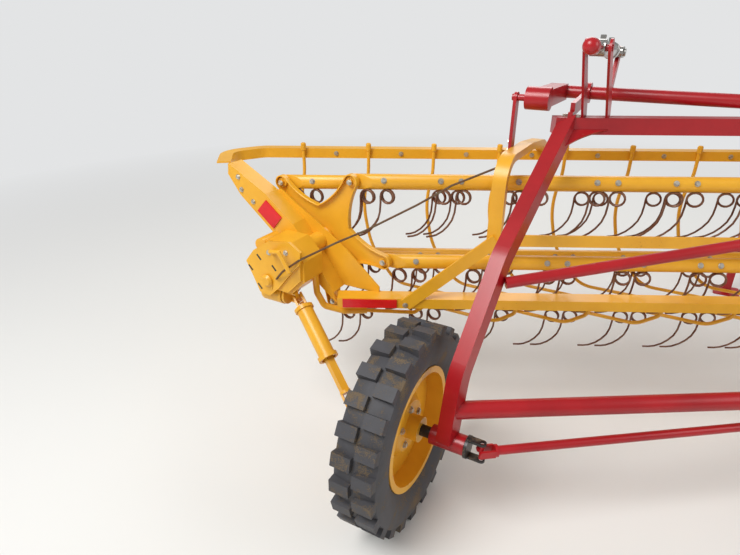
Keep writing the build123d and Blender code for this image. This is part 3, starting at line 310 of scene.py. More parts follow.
def settle(obj: bpy.types.Object, finish: Finish, body: str, smooth: bool) -> None:
    """Shade and dress a finished piece, set it on its body and report it.

    Args:
        obj: The piece.
        finish: Finish of the whole piece.
        body: CAD body that it moves with.
        smooth: Whether its faces are shaded smooth.
    """
    faces = obj.data.polygons
    faces.foreach_set("use_smooth", [smooth] * len(faces))
    dress(obj, finish)
    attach(obj, body)
    log.info("%s: %d faces", obj.name, len(faces))


def new_piece(name: str, mesh: bmesh.types.BMesh, finish: Finish, body: str,
              smooth: bool = True) -> bpy.types.Object:
    """Turn a finished mesh into a piece that rides on a body.

    Args:
        name: Name of the piece.
        mesh: Mesh in scene coordinates; it is freed.
        finish: Finish of the whole piece.
        body: CAD body that it moves with.
        smooth: Whether its faces are shaded smooth.

    Returns:
        The new object.
    """
    data = bpy.data.meshes.new(name)
    bmesh.ops.recalc_face_normals(mesh, faces=mesh.faces)
    for edge in mesh.edges:
        edge.smooth = len(edge.link_faces) != 2 or edge.calc_face_angle() < CREASE
    mesh.to_mesh(data)
    mesh.free()
    obj = add_object(name, data)
    settle(obj, finish, body, smooth)
    return obj


def spokes(axis: Vector, sides: int) -> list[Vector]:
    """List unit vectors that stand evenly round an axis.

    Args:
        axis: Unit vector of the axis.
        sides: How many to give.

    Returns:
        The vectors in the order of their angle.
    """
    first = axis.orthogonal().normalized()
    second = axis.cross(first).normalized()
    angles = [2 * math.pi * step / sides for step in range(sides)]
    return [first * math.cos(angle) + second * math.sin(angle) for angle in angles]


def bridge(mesh: bmesh.types.BMesh, here: Ring, there: Ring) -> None:
    """Join two closed rings of as many points with a band of faces.

    Args:
        mesh: Mesh that gets the faces.
        here: First ring.
        there: Second ring.
    """
    for index in range(len(here)):
        after = (index + 1) % len(here)
        mesh.faces.new((here[index], here[after], there[after], there[index]))


def skin(mesh: bmesh.types.BMesh, rings: Sequence[Ring]) -> None:
    """Join closed rings in their order and close both ends.

    Args:
        mesh: Mesh that gets the faces.
        rings: The rings, each of as many points.
    """
    for here, there in zip(rings, rings[1:]):
        bridge(mesh, here, there)
    mesh.faces.new(list(reversed(rings[0])))
    mesh.faces.new(rings[-1])


def lathe(mesh: bmesh.types.BMesh, centre: Vector, axis: Vector, outline: Sequence[Pair],
          sides: int) -> None:
    """Turn a closed outline round an axis.

    Args:
        mesh: Mesh that gets the form.
        centre: Point of the axis from which its reach is measured, in metres.
        axis: Unit vector of the axis.
        outline: Its corners as (reach along the axis, radius) in millimetres.
        sides: Number of steps round the axis.
    """
    rings = [[mesh.verts.new(centre + axis * (reach / MM) + way * (radius / MM))
              for reach, radius in outline] for way in spokes(axis, sides)]
    for index, here in enumerate(rings):
        bridge(mesh, here, rings[(index + 1) % sides])


def rod(mesh: bmesh.types.BMesh, start: Vector, end: Vector, radius: float, sides: int,
        round_end: float = 0.25) -> None:
    """Add a round bar with eased ends.

    Args:
        mesh: Mesh that gets the bar.
        start: Middle of its first end, in metres.
        end: Middle of its other end, in metres.
        radius: Its radius in millimetres.
        sides: Number of its sides.
        round_end: How far the ends are eased, as a share of the radius.
    """
    way = (end - start).normalized()
    length = (end - start).length * MM
    ease = radius * round_end
    outline = ((0.0, radius - ease), (ease, radius), (length - ease, radius), (length, radius - ease))
    around = spokes(way, sides)
    skin(mesh, [[mesh.verts.new(start + way * (reach / MM) + out * (wide / MM)) for out in around]
                for reach, wide in outline])


def plate(mesh: bmesh.types.BMesh, outline: Sequence[Pair], near: float, far: float) -> None:
    """Add a plate square to the travel direction.

    Args:
        mesh: Mesh that gets the plate.
        outline: Its corners as (across, up) in millimetres.
        near: Place of its near face along the travel direction.
        far: Place of its far face.
    """
    skin(mesh, [[mesh.verts.new(spot(n, along, z)) for n, z in outline] for along in (near, far)])


@dataclass
class Pattern:
    """Geometry Nodes tree that sets a small form at each of a mesh's points, turned to its facing."""

    name: str
    finish: Finish
    tree: bpy.types.NodeTree = field(init=False)
    start: bpy.types.Node = field(init=False)
    size_socket: str = field(init=False)

    def begin(self, size_name: str, size_mm: float) -> None:
        """Open the tree with its geometry input and one named size.

        Args:
            size_name: Name of the size among the tree's inputs.
            size_mm: Its value where a piece sets no other.
        """
        self.tree = bpy.data.node_groups.new(self.name, "GeometryNodeTree")
        sockets = self.tree.interface
        sockets.new_socket("Places", in_out="INPUT", socket_type="NodeSocketGeometry")
        size = sockets.new_socket(size_name, in_out="INPUT", socket_type="NodeSocketFloat")
        size.default_value = size_mm / MM
        self.size_socket = size.identifier
        sockets.new_socket("Geometry", in_out="OUTPUT", socket_type="NodeSocketGeometry")
        self.start = add_node(self.tree, "NodeGroupInput")

    def close(self, form: bpy.types.NodeSocket) -> None:
        """Set the form at the points and end in Realize Instances and Set Material.

        Args:
            form: Output that gives the form, whose Z axis turns to the facing.
        """
        facing = add_node(self.tree, "GeometryNodeInputNamedAttribute", {"data_type": "FLOAT_VECTOR"},
                          {"Name": "facing"})
        turn = add_node(self.tree, "FunctionNodeAlignRotationToVector", {"axis": "Z"}, {},
                        {"Vector": facing.outputs["Attribute"]})
        placed = add_node(self.tree, "GeometryNodeInstanceOnPoints", {}, {},
                          {"Points": self.start.outputs["Places"], "Instance": form,
                           "Rotation": turn.outputs["Rotation"]})
        real = add_node(self.tree, "GeometryNodeRealizeInstances", {}, {},
                        {"Geometry": placed.outputs["Instances"]})
        coated = add_node(self.tree, "GeometryNodeSetMaterial", {}, {"Material": self.finish.material()},
                          {"Geometry": real.outputs["Geometry"]})
        add_node(self.tree, "NodeGroupOutput", {}, {}, {"Geometry": coated.outputs["Geometry"]})

    def grow(self, name: str, places: Iterable[tuple[Vector, Vector]], body: str, size_mm: float,
             smooth: bool = False) -> bpy.types.Object:
        """Make one plain mesh of the pattern on one body.

        Args:
            name: Name of the piece.
            places: Points with the direction that each form faces.
            body: CAD body that carries them.
            size_mm: Value of the tree's named size.
            smooth: Whether its faces are shaded smooth.

        Returns:
            The new object.
        """
        rows = list(places)
        data = bpy.data.meshes.new(name + "_places")
        data.from_pydata([tuple(point) for point, _ in rows], [], [])
        facing = data.attributes.new("facing", "FLOAT_VECTOR", "POINT")
        facing.data.foreach_set("vector", [value for _, way in rows for value in way])
        obj = add_object(name, data)
        modifier = obj.modifiers.new("Pattern", "NODES")
        modifier.node_group = self.tree
        modifier[self.size_socket] = size_mm / MM
        graph = bpy.context.evaluated_depsgraph_get()
        done = bpy.data.meshes.new_from_object(obj.evaluated_get(graph), depsgraph=graph)
        obj.modifiers.clear()
        obj.data = done
        done.name = name
        settle(obj, self.finish, body, smooth)
        return obj


@dataclass(frozen=True)
class Disc:
    """One layer of a bolt: its sides, and its sizes as shares of the head's radius."""

    sides: int
    radius: float
    depth: float
    lift: float


@dataclass
class BoltPattern(Pattern):
    """Hex-headed bolts: a washer, a six-sided head and its eased top."""

    head_radius: float = 11.0
    layers: tuple[Disc, ...] = (Disc(18, 1.3, 0.22, 0.11), Disc(6, 1.0, 0.62, 0.5),
                                Disc(18, 0.78, 0.1, 0.84))

    def build(self) -> "BoltPattern":
        """Build the tree, with one disc for each layer.

        Returns:
            The pattern, ready to grow.
        """
        self.begin("Head radius", self.head_radius)
        size = self.start.outputs["Head radius"]
        parts = []
        for layer in self.layers:
            radius, depth, lift = (
                add_node(self.tree, "ShaderNodeMath", {"operation": "MULTIPLY"}, {1: share}, {0: size})
                for share in (layer.radius, layer.depth, layer.lift))
            disc = add_node(self.tree, "GeometryNodeMeshCylinder", {}, {"Vertices": layer.sides},
                            {"Radius": radius.outputs[0], "Depth": depth.outputs[0]})
            offset = add_node(self.tree, "ShaderNodeCombineXYZ", {}, {}, {"Z": lift.outputs[0]})
            moved = add_node(self.tree, "GeometryNodeTransform", {}, {},
                             {"Geometry": disc.outputs["Mesh"], "Translation": offset.outputs[0]})
            parts.append(moved.outputs["Geometry"])
        joined = add_node(self.tree, "GeometryNodeJoinGeometry")
        for part in reversed(parts):
            self.tree.links.new(part, joined.inputs[0])
        self.close(joined.outputs["Geometry"])
        return self


@dataclass
class TinePattern(Pattern):
    """Spring tines bent from one round wire: a two-turn coil under the bar and a swept leg.

    The coil's centre and the leg's points are (across, up) from the middle of the bar.
    """

    wire_radius: float = 4.0
    wire_sides: int = 7
    coil_centre: Pair = (18.0, -56.0)
    coil_radius: float = 27.0
    coil_depth: float = 17.0
    coil_start: float = 90.0
    coil_steps: int = 16
    turns: float = 2.25
    leg: tuple[Pair, ...] = ((-9, -84), (-12, -120), (-21, -153), (-38, -182), (-58, -206), (-83, -226),
                             (-104, -236), (-127, -243))
    line: bpy.types.Object = field(init=False)

    def wire(self) -> bpy.types.Object:
        """Draw the middle line of one tine's wire.

        Returns:
            Curve object that the tree reads.
        """
        points: list[Vector] = []
        steps = int(self.turns * self.coil_steps)
        for step in range(steps + 1):
            angle = math.radians(self.coil_start) + 2 * math.pi * step / self.coil_steps
            n = self.coil_centre[0] + self.coil_radius * math.cos(angle)
            z = self.coil_centre[1] + self.coil_radius * math.sin(angle)
            depth = self.coil_depth * (0.5 - step / steps)
            points.append(ACROSS * n + UP * z + ALONG * depth)
        for index, (n, z) in enumerate(self.leg):
            depth = -self.coil_depth * 0.5 * (1 - (index + 1) / len(self.leg))
            points.append(ACROSS * n + UP * z + ALONG * depth)
        curve = bpy.data.curves.new("tine_line", "CURVE")
        curve.dimensions = "3D"
        line = curve.splines.new("POLY")
        line.points.add(len(points) - 1)
        for entry, point in zip(line.points, points):
            entry.co = (*(point / MM), 1.0)
        return add_object("tine_line", curve)

    def build(self) -> "TinePattern":
        """Build the tree: the wire's line gets a round section and goes to each root.

        Returns:
            The pattern, ready to grow.
        """
        self.line = self.wire()
        self.begin("Wire radius", self.wire_radius)
        source = add_node(self.tree, "GeometryNodeObjectInfo", {}, {"Object": self.line})
        ring = add_node(self.tree, "GeometryNodeCurvePrimitiveCircle", {}, {"Resolution": self.wire_sides},
                        {"Radius": self.start.outputs["Wire radius"]})
        tube = add_node(self.tree, "GeometryNodeCurveToMesh", {}, {"Fill Caps": True},
                        {"Curve": source.outputs["Geometry"], "Profile Curve": ring.outputs["Curve"]})
        self.close(tube.outputs["Mesh"])
        return self

    def clear(self) -> None:
        """Take the line away once all tines are made."""
        bpy.data.objects.remove(self.line)


@dataclass(frozen=True)
class Lamp:
    """Round area lamp: its place and width in metres, and its power in watts."""

    name: str
    at: Triple
    width: float
    power: float


@dataclass
class Studio:
    """Camera at the photograph's place, pale floor and soft plain light."""

    focal_px: float = 545.0
    frame_width_px: float = 740.0
    sensor_mm: float = 36.0
    pitch: float = 25.0
    yaw: float = 1.63
    roll: float = 0.16
    eye: Triple = (-77.0, -1498.0, 1616.0)
    clip_end: float = 60.0
    floor_half: float = 30.0
    floor_code: str = "#EAE9E5"
    floor_rough: float = 0.9
    floor_specular: float = 0.1
    backdrop_code: str = "#F4F5F6"
    backdrop_strength: float = 0.85
    sky_strength: float = 0.42
    fade_from: float = 2.2
    fade_to: float = 6.5
    aim: Triple = (-0.3, -0.2, 0.7)
    lamps: tuple[Lamp, ...] = (Lamp("key", (-3.5, -3.0, 5.0), 3.0, 260.0),
                               Lamp("fill", (4.5, -2.5, 3.5), 4.0, 90.0),
                               Lamp("back", (1.0, 5.0, 4.5), 4.0, 120.0))

    def camera(self) -> None:
        """Set the camera as it was fitted to the photograph."""
        data = bpy.data.cameras.new("camera")
        data.sensor_width = self.sensor_mm
        data.lens = self.focal_px / self.frame_width_px * self.sensor_mm
        data.clip_end = self.clip_end
        obj = add_object("camera", data)
        turn = (Matrix.Rotation(math.radians(self.yaw), 4, "Z")
                @ Matrix.Rotation(math.radians(90.0 - self.pitch), 4, "X")
                @ Matrix.Rotation(math.radians(self.roll), 4, "Z"))
        obj.matrix_world = Matrix.Translation(place(*self.eye)) @ turn
        bpy.context.scene.camera = obj

    def floor(self) -> None:
        """Lay a pale floor that fades into the backdrop away from the rake."""
        mesh = bmesh.new()
        bmesh.ops.create_grid(mesh, x_segments=2, y_segments=2, size=self.floor_half)
        data = bpy.data.meshes.new("floor")
        mesh.to_mesh(data)
        mesh.free()
        obj = add_object("floor", data)
        made = bpy.data.materials.new("pale_floor")
        tree = blank_tree(made)
        shader = add_node(tree, "ShaderNodeBsdfPrincipled", {},
                          {"Base Color": linear(self.floor_code), "Roughness": self.floor_rough,
                           "Specular IOR Level": self.floor_specular})
        glow = add_node(tree, "ShaderNodeEmission", {},
                        {"Color": linear(self.backdrop_code), "Strength": self.backdrop_strength})
        coords = add_node(tree, "ShaderNodeTexCoord").outputs["Object"]
        reach = add_node(tree, "ShaderNodeVectorMath", {"operation": "LENGTH"}, {}, {0: coords})
        far = add_node(tree, "ShaderNodeMapRange", {},
                       {"From Min": self.fade_from, "From Max": self.fade_to},
                       {"Value": reach.outputs["Value"]})
        faded = add_node(tree, "ShaderNodeMixShader", {}, {},
                         {0: far.outputs["Result"], 1: shader.outputs["BSDF"],
                          2: glow.outputs["Emission"]})
        add_node(tree, "ShaderNodeOutputMaterial", {}, {}, {"Surface": faded.outputs["Shader"]})
        data.materials.append(made)

    def sky(self) -> None:
        """Light the world plainly, with a brighter backdrop that the camera alone sees."""
        world = bpy.data.worlds.new("studio")
        bpy.context.scene.world = world
        tree = blank_tree(world)
        path = add_node(tree, "ShaderNodeLightPath")
        strength = add_node(tree, "ShaderNodeMapRange", {},
                            {"To Min": self.sky_strength, "To Max": self.backdrop_strength},
                            {"Value": path.outputs["Is Camera Ray"]})
        back = add_node(tree, "ShaderNodeBackground", {}, {"Color": linear(self.backdrop_code)},
                        {"Strength": strength.outputs["Result"]})
        add_node(tree, "ShaderNodeOutputWorld", {}, {}, {"Surface": back.outputs["Background"]})

    def light(self) -> None:
        """Hang the lamps, aimed into the basket."""
        for lamp in self.lamps:
            data = bpy.data.lights.new(lamp.name, "AREA")
            data.shape = "DISK"
            data.size = lamp.width
            data.energy = lamp.power
            obj = add_object(lamp.name, data)
            at = Vector(lamp.at)
            turn = (Vector(self.aim) - at).to_track_quat("-Z", "Y")
            obj.matrix_world = Matrix.Translation(at) @ turn.to_matrix().to_4x4()

    def build(self) -> None:
        """Set up the whole studio."""
        self.camera()
        self.floor()
        self.sky()
        self.light()
        bpy.context.scene.view_settings.view_transform = "Standard"


@dataclass
class Reel:
    """Five tine bars between the two spiders, with their pairs of tines and clamp bolts."""

    y: float = 584.0
    z: float = 827.0
    left_x: float = -318.0
    right_x: float = 2372.0
    radius: float = 281.0
    start_angle: float = -10.0
    count: int = 5
    bar_radius: float = 28.5
    bar_sides: int = 32
    edge_ease: float = 2.0
    edge_reach: float = 3.0
    end_gap: float = 11.0
    pin_radius: float = 11.0
    pin_reach: float = 24.0
    pin_hold: float = 40.0
    first_pair: float = 80.0
    pitch: float = 288.0
    pairs: int = 9
    spread: float = 38.0
    wire_radius: float = 4.0
    bolt_head: float = 8.5
    clamp_way: Triple = (0.0, -0.94, 0.342)
    clamp_sink: float = 0.6

    def bar_offset(self, index: int) -> Vector:
        """Place of a bar from the reel's axis, in millimetres."""
        angle = math.radians(self.start_angle + index * 360.0 / self.count)
        return ACROSS * (self.radius * math.cos(angle)) + UP * (self.radius * math.sin(angle))

    def ends(self, index: int) -> list[Vector]:
        """Left and right end of a bar's middle line, in millimetres."""
        offset = self.bar_offset(index)
        return [Vector((x, self.y, self.z)) + offset for x in (self.left_x, self.right_x)]

    def roots(self, index: int) -> list[Vector]:
        """Find the roots of a bar's tines on its middle line.

        Args:
            index: Number of the bar, from 0.

        Returns:
            The roots from left to right, in metres.
        """
        base = self.ends(index)[0]
        reaches = [self.first_pair + pair * self.pitch + side * self.spread
                   for pair in range(self.pairs) for side in (-1, 1)]
        return [place(*(base + Vector((reach, 0, 0)))) for reach in reaches]

    def tube(self, index: int) -> None:
        """Make one bar: a round tube whose ends are cut parallel to the spiders, with its end pins.

        Args:
            index: Number of the bar, from 0.
        """
        left, right = self.ends(index)
        near, far = left.dot(ALONG) + self.end_gap, right.dot(ALONG) - self.end_gap
        mesh = bmesh.new()
        rings = []
        for cut, ease, inward in ((near, self.edge_ease, 0.0), (near, 0.0, self.edge_reach),
                                  (far, 0.0, -self.edge_reach), (far, self.edge_ease, 0.0)):
            ring = []
            reach = self.bar_radius - ease
            for step in range(self.bar_sides):
                angle = 2 * math.pi * step / self.bar_sides
                y = left.y + reach * math.cos(angle)
                z = left.z + reach * math.sin(angle)
                x = (cut - y * ALONG.y) / ALONG.x + inward
                ring.append(mesh.verts.new(place(x, y, z)))
            rings.append(ring)
        skin(mesh, rings)
        for end, side in ((left, 1), (right, -1)):
            rod(mesh, place(*(end - ALONG * side * self.pin_reach)),
                place(*(end + ALONG * side * (self.end_gap + self.pin_hold))), self.pin_radius, sides=20)
        obj = new_piece(f"bar_{index + 1}_tube", mesh, YELLOW, f"bar_{index + 1}")
        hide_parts(f"tine_bar_{index + 1}")

    def build(self, bolts: BoltPattern, tines: TinePattern) -> None:
        """Make all bars with their tines, clamp bolts and end nuts.

        Args:
            bolts: Pattern of the bolts.
            tines: Pattern of the tines.
        """
        clamp = Vector(self.clamp_way)
        for index in range(self.count):
            body = f"bar_{index + 1}"
            self.tube(index)
            roots = self.roots(index)
            wires = tines.grow(f"{body}_tines", [(root, UP) for root in roots], body, self.wire_radius,
                               smooth=True)
            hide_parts(f"tine_bar_{index + 1}")
            # The first root has no bolt, because it would strike the left star as the reel turns
            places = [(root + clamp * (self.bar_radius - self.clamp_sink) / MM, clamp)
                      for root in roots[1:]]
            places.extend((place(*(end + way * self.pin_reach)), way)
                          for end, way in zip(self.ends(index), (-ALONG, ALONG)))
            bolts.grow(f"{body}_bolts", places, body, self.bolt_head)


class End(Enum):
    """End of the basket, with the way along the travel direction that leads to the other end."""

    LEFT = 1.0
    RIGHT = -1.0


@dataclass
class Spider:
    """Dished star that carries the bars: webbed arms with an edge turned over toward its basket end."""

    end: End
    axis_across: float
    axis_along: float
    shaft_reach: float
    reel: Reel
    plate: float = 6.0
    depth: float = 24.0
    wall: float = 5.0
    edge_ease: float = 1.5
    tip_half: float = 30.0
    tip_steps: int = 12
    valley_half: float = 81.0
    valley_out: float = 112.0
    web_power: float = 2.2
    web_steps: int = 10
    boss_radius: float = 44.0
    boss_under_edge: float = 2.0
    shaft_radius: float = 18.0
    eye_radius: float = 20.0
    eye_height: float = 11.0
    eye_ease: float = 1.0
    eye_rim: float = 6.0
    pin_room: float = 0.6
    seat: float = 1.0

    def outline(self) -> list[Pair]:
        """Draw the star's edge, with one arm for each bar.

        Returns:
            Its points as (across, up) from its axis.
        """
        web = []
        for step in range(self.web_steps + 1):
            share = 1 - step / self.web_steps
            out = self.reel.radius - (self.reel.radius - self.valley_out) * share
            half = self.tip_half + (self.valley_half - self.tip_half) * share ** self.web_power
            web.append((out, half))
        tip = []
        for step in range(1, self.tip_steps):
            turn = math.radians(-90.0 + 180.0 * step / self.tip_steps)
            tip.append((self.reel.radius + self.tip_half * math.cos(turn), self.tip_half * math.sin(turn)))
        arm = [(out, -half) for out, half in web] + tip + [(out, half) for out, half in reversed(web[1:])]
        points = []
        for index in range(self.reel.count):
            angle = math.radians(self.reel.start_angle + index * 360.0 / self.reel.count)
            points.extend((out * math.cos(angle) - side * math.sin(angle),
                           out * math.sin(angle) + side * math.cos(angle)) for out, side in arm)
        return points

    def inset(self, points: list[Pair], amount: float) -> list[Pair]:
        """Move a closed outline inward, square to its edge.

        Args:
            points: The outline.
            amount: How far it moves, in millimetres.

        Returns:
            The moved outline.
        """
        moved = []
        for index, (x, y) in enumerate(points):
            before, after = points[index - 1], points[(index + 1) % len(points)]
            dx, dy = after[0] - before[0], after[1] - before[1]
            length = math.hypot(dx, dy)
            moved.append((x - dy / length * amount, y + dx / length * amount))
        return moved

    def at(self, x: float, y: float, depth: float) -> Vector:
        """Point of the star at a depth from its far face toward the basket's end."""
        along = self.axis_along + self.end.value * (self.plate / 2 - depth)
        return spot(self.axis_across + x, along, self.reel.z + y)

    def build(self) -> None:
        """Make the star with its middle boss, its shaft and the eyes at its tips."""
        mesh = bmesh.new()
        edge = self.outline()
        lip = self.inset(edge, self.edge_ease)
        inner = self.inset(edge, self.wall)
        rows = ((lip, 0.0), (edge, self.edge_ease), (edge, self.depth - self.edge_ease),
                (lip, self.depth), (inner, self.depth), (inner, self.plate))
        skin(mesh, [[mesh.verts.new(self.at(x, y, depth)) for x, y in points] for points, depth in rows])
        foot = self.plate - self.seat
        rod(mesh, self.at(0, 0, foot), self.at(0, 0, self.depth - self.boss_under_edge),
            self.boss_radius, sides=40, round_end=0.08)
        rod(mesh, self.at(0, 0, self.plate), self.at(0, 0, self.shaft_reach), self.shaft_radius,
            sides=28, round_end=0.1)
        hole = self.reel.pin_radius + self.pin_room
        eye = ((0, hole), (0, self.eye_radius), (self.eye_height - self.eye_ease, self.eye_radius),
               (self.eye_height, hole + self.eye_rim), (self.eye_height, hole))
        for index in range(self.reel.count):
            offset = self.reel.bar_offset(index)
            centre = self.at(offset.dot(ACROSS), offset.z, foot)
            lathe(mesh, centre, ALONG * -self.end.value, eye, sides=28)
        side = self.end.name.lower()
        piece = new_piece(f"{side}_star", mesh, YELLOW, f"{side}_spider")
        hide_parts(f"{side}_spider")


@dataclass
class Basket:
    """Fittings of the basket: stripper knobs, left end web, gearbox cover, shift handle and bolts."""

    knob_first: float = -442.0
    knob_pitch: float = 288.0
    knob_count: int = 8
    knob_y: float = 922.0
    knob_z: Pair = (1104.0, 1139.0)
    knob_radius: float = 11.5
    web_outline: tuple[Pair, ...] = ((-752, 1006), (-733, 1012), (-644, 952), (-565, 904), (-422, 807),
                                     (-279, 683), (-279, 661), (-437, 656), (-623, 905))
    web_along: Pair = (320.0, 326.0)
    cover_outline: tuple[Pair, ...] = ((-706, 831), (-634, 878), (-536, 895), (-484, 862), (-490, 815),
                                       (-548, 752), (-593, 697), (-644, 651), (-690, 658), (-718, 719),
                                       (-748, 779))
    cover_face: float = 98.0
    cover_depth: float = 13.0
    seat: float = 2.0
    boss: Pair = (-646.0, 718.0)
    boss_radius: float = 25.0
    boss_height: float = 16.0
    slots: tuple[Pair, ...] = ((-681, 807), (-727, 754), (-611, 776), (-688, 683))
    slot_size: Pair = (27.0, 7.5)
    slot_tilt: float = -48.0
    slot_proud: float = 0.6
    handle_points: tuple[Triple, ...] = ((-612, 100, 838), (-592, 62, 860), (-552, 60, 866),
                                         (-509, 60, 796))
    handle_radius: float = 8.0
    bolt_head: float = 8.0
    rail_bolt_x: tuple[float, ...] = (-298, -10, 278, 566, 854, 1142, 1430)
    rail_face_y: float = 930.0
    rail_bolt_z: float = 1091.0
    brace_bolts: tuple[Triple, ...] = ((5, 345.8, 641), (2025, 345.8, 641))
    cover_bolts: tuple[Pair, ...] = ((-630, 836), (-550, 851))
    link_bolts: tuple[Pair, ...] = ((67, 700), (1294, 1361))
    link_bolt_z: Pair = (1185, 1215)
    beam_bolts: tuple[Pair, ...] = ((-880, 1060), (-868, 1010), (-812, 968))
    beam_face: float = 240.0

    def knobs(self) -> None:
        """Cap the ends of the strippers over the top rail."""
        mesh = bmesh.new()
        for index in range(self.knob_count):
            x = self.knob_first + index * self.knob_pitch
            foot, top = (place(x, self.knob_y, z) for z in self.knob_z)
            rod(mesh, foot, top, self.knob_radius, sides=20, round_end=0.35)
        new_piece("stripper_knobs", mesh, YELLOW, "basket")

    def end_web(self) -> None:
        """Stand the deep web of the left end beam on the bottom beam, before the star."""
        mesh = bmesh.new()
        plate(mesh, self.web_outline, *self.web_along)
        new_piece("left_end_web", mesh, YELLOW, "basket", smooth=False)

    def cover(self) -> None:
        """Lay the wide cover with its boss on the gearbox."""
        mesh = bmesh.new()
        plate(mesh, self.cover_outline, self.cover_face, self.cover_face + self.cover_depth)
        n, z = self.boss
        rod(mesh, spot(n, self.cover_face + self.seat, z), spot(n, self.cover_face - self.boss_height, z),
            self.boss_radius, sides=32, round_end=0.35)
        new_piece("gearbox_cover", mesh, YELLOW, "basket")

    def cover_slots(self) -> None:
        """Lay thin black plates on the cover as painted shade: they stand for the dark inside of its recessed
        slots.
        """
        mesh = bmesh.new()
        turn = math.radians(self.slot_tilt)
        half_length, half_width = self.slot_size[0] / 2, self.slot_size[1] / 2
        for n, z in self.slots:
            corners = [(n + a * half_length * math.cos(turn) - b * half_width * math.sin(turn),
                        z + a * half_length * math.sin(turn) + b * half_width * math.cos(turn))
                       for a, b in ((-1, -1), (1, -1), (1, 1), (-1, 1))]
            plate(mesh, corners, self.cover_face - self.slot_proud, self.cover_face + self.seat)
        # These black plates are painted shade, the dark of the slots' recesses, not a black part of the cover
        new_piece("cover_slots", mesh, BLACK, "basket", smooth=False)

    def handle(self) -> None:
        """Bend the round shift handle out of the cover."""
        mesh = bmesh.new()
        corners = [spot(*point) for point in self.handle_points]
        for start, end in zip(corners, corners[1:]):
            rod(mesh, start, end, self.handle_radius, sides=20, round_end=0.2)
        for corner in corners[1:]:
            bmesh.ops.create_uvsphere(mesh, u_segments=20, v_segments=10, radius=self.handle_radius / MM,
                                      matrix=Matrix.Translation(corner))
        piece = new_piece("bent_handle", mesh, YELLOW, "basket")
        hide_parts("shift_handle")

    def bolts(self, pattern: BoltPattern) -> None:
        """Set the bolts of the rail, the braces' feet, the cover, the lift links and the left end beam.

        Args:
            pattern: Pattern of the bolts.
        """
        places = [(place(x, self.rail_face_y, self.rail_bolt_z), NEAR) for x in self.rail_bolt_x]
        places.extend((place(*point), NEAR) for point in self.brace_bolts)
        places.extend((spot(n, self.cover_face, z), -ALONG) for n, z in self.cover_bolts)
        places.extend((spot(n, t, z), -ACROSS) for z in self.link_bolt_z for n, t in self.link_bolts)
        places.extend((spot(n, self.beam_face, z), -ALONG) for n, z in self.beam_bolts)
        pattern.grow("basket_bolts", places, "basket", self.bolt_head)

    def build(self, pattern: BoltPattern) -> None:
        """Make all fittings of the basket.

        Args:
            pattern: Pattern of the bolts.
        """
        self.knobs()
        self.end_web()
        self.cover()
        self.cover_slots()
        self.handle()
        self.bolts(pattern)


@dataclass(frozen=True)
class Wheel:
    """Body of a wheel, the middle of its hub, and the way across that its bolts face."""

    body: str
    across: float
    along: float
    way: int


@dataclass
class Carriage:
    """Bolts of the towed frame: at the feet of the rockshaft's bearings and in both wheel discs."""

    bearings: Pair = (270.0, 1030.0)
    bearing_spread: float = 22.0
    beam_y: float = 510.0
    beam_top: float = 1319.0
    frame_bolt_head: float = 9.0
    wheels: tuple[Wheel, ...] = (Wheel("left_wheel", 0.0, 0.0, 1),
                                 Wheel("right_wheel", 2007.0, 1104.0, -1))
    hub_height: float = 363.0
    hub_bolt_count: int = 5
    hub_bolt_radius: float = 66.0
    hub_bolt_start: float = 0.3
    hub_bolt_head: float = 10.0
    disc_face: float = 22.0

    def build(self, pattern: BoltPattern) -> None:
        """Set all bolts of the frame and the wheels.

        Args:
            pattern: Pattern of the bolts.
        """
        places = []
        for n in self.bearings:
            along = (self.beam_y + n * math.sin(TRAVEL)) / math.cos(TRAVEL)
            for side in (-1, 1):
                places.append((spot(n + side * self.bearing_spread, along, self.beam_top), UP))
        pattern.grow("frame_bolts", places, "frame", self.frame_bolt_head)
        for wheel in self.wheels:
            places = []
            for step in range(self.hub_bolt_count):
                angle = 2 * math.pi * step / self.hub_bolt_count + self.hub_bolt_start
                places.append((spot(wheel.across + wheel.way * self.disc_face,
                                    wheel.along + self.hub_bolt_radius * math.cos(angle),
                                    self.hub_height + self.hub_bolt_radius * math.sin(angle)),
                               ACROSS * wheel.way))
            pattern.grow(f"{wheel.body}_bolts", places, wheel.body, self.hub_bolt_head)


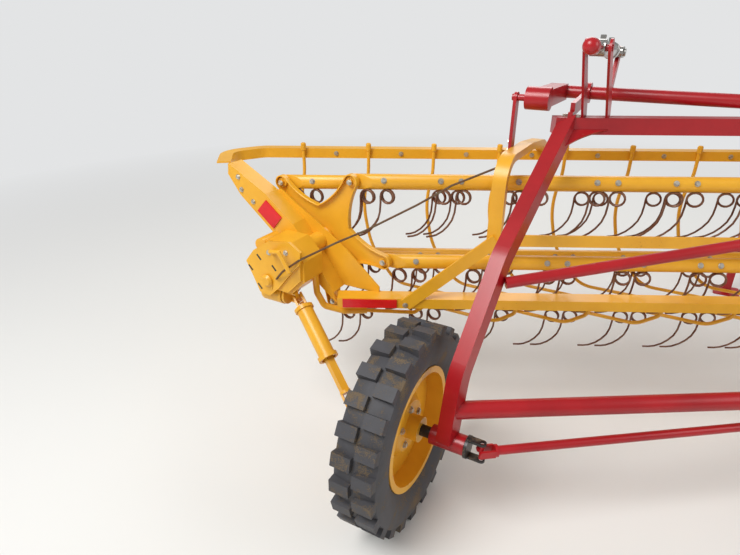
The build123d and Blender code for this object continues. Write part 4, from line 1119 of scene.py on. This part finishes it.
@dataclass
class LiftCylinder:
    """Tail, cap, gland and oil ports on the barrel of the lift cylinder.

    Its base pin is given in metres in the scene, and reaches are measured from it along the barrel.
    """

    base: Triple = (-0.416595, -0.67038, 1.55)
    way: Triple = (0.4685589, 0.8812311, -0.0623249)
    tail: Pair = (-140.0, 30.0)
    tail_radius: float = 20.0
    cap: Pair = (-140.0, -112.0)
    cap_radius: float = 24.0
    gland: Pair = (270.0, 299.0)
    gland_radius: float = 28.5
    gland_ease: float = 1.5
    gland_bore: float = 15.0
    port_reach: Pair = (64.0, 252.0)
    port_radius: float = 9.0
    port_foot: float = 20.0
    port_height: float = 40.0

    def at(self, reach: float) -> Vector:
        """Point of the barrel's middle line."""
        return Vector(self.base) + Vector(self.way) * reach / MM

    def build(self) -> None:
        """Make the tail behind the pin, its red cap and the gland with the ports."""
        way = Vector(self.way)
        cap_end = self.at(self.cap[0])
        mesh = bmesh.new()
        rod(mesh, cap_end, self.at(self.cap[1]), self.cap_radius, sides=36, round_end=0.05)
        bmesh.ops.create_uvsphere(mesh, u_segments=32, v_segments=16, radius=self.cap_radius / MM,
                                  matrix=Matrix.Translation(cap_end))
        new_piece("cylinder_cap", mesh, RED, "barrel")
        mesh = bmesh.new()
        rod(mesh, self.at(self.tail[0]), self.at(self.tail[1]), self.tail_radius, sides=36,
            round_end=0.05)
        new_piece("cylinder_tail", mesh, STEEL, "barrel")
        mesh = bmesh.new()
        near, far = self.gland
        eased = self.gland_radius - self.gland_ease
        outline = ((near, eased), (near + self.gland_ease, self.gland_radius),
                   (far - self.gland_ease, self.gland_radius), (far, eased),
                   (far, self.gland_bore), (near, self.gland_bore))
        lathe(mesh, self.at(0.0), way, outline, sides=36)
        lift = (UP - way * UP.dot(way)).normalized()
        for reach in self.port_reach:
            foot, top = (self.at(reach) + lift * height / MM for height in (self.port_foot, self.port_height))
            rod(mesh, foot, top, self.port_radius, sides=6, round_end=0.12)
        new_piece("cylinder_gland", mesh, STEEL, "barrel")


def main() -> None:
    """Build the looks in order."""
    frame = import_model()
    Studio().build()
    dress_nodes(frame["nodes"])
    bolts = BoltPattern("bolts", ZINC).build()
    tines = TinePattern("spring_tines", WIRE).build()
    reel = Reel()
    reel.build(bolts, tines)
    Spider(End.LEFT, axis_across=-555.0, axis_along=366.3, shaft_reach=100.0, reel=reel).build()
    Spider(End.RIGHT, axis_across=1820.0, axis_along=1629.3, shaft_reach=150.0, reel=reel).build()
    Basket().build(bolts)
    Carriage().build(bolts)
    LiftCylinder().build()
    tines.clear()
    log.info("finished")


if __name__ == "__main__":
    main()
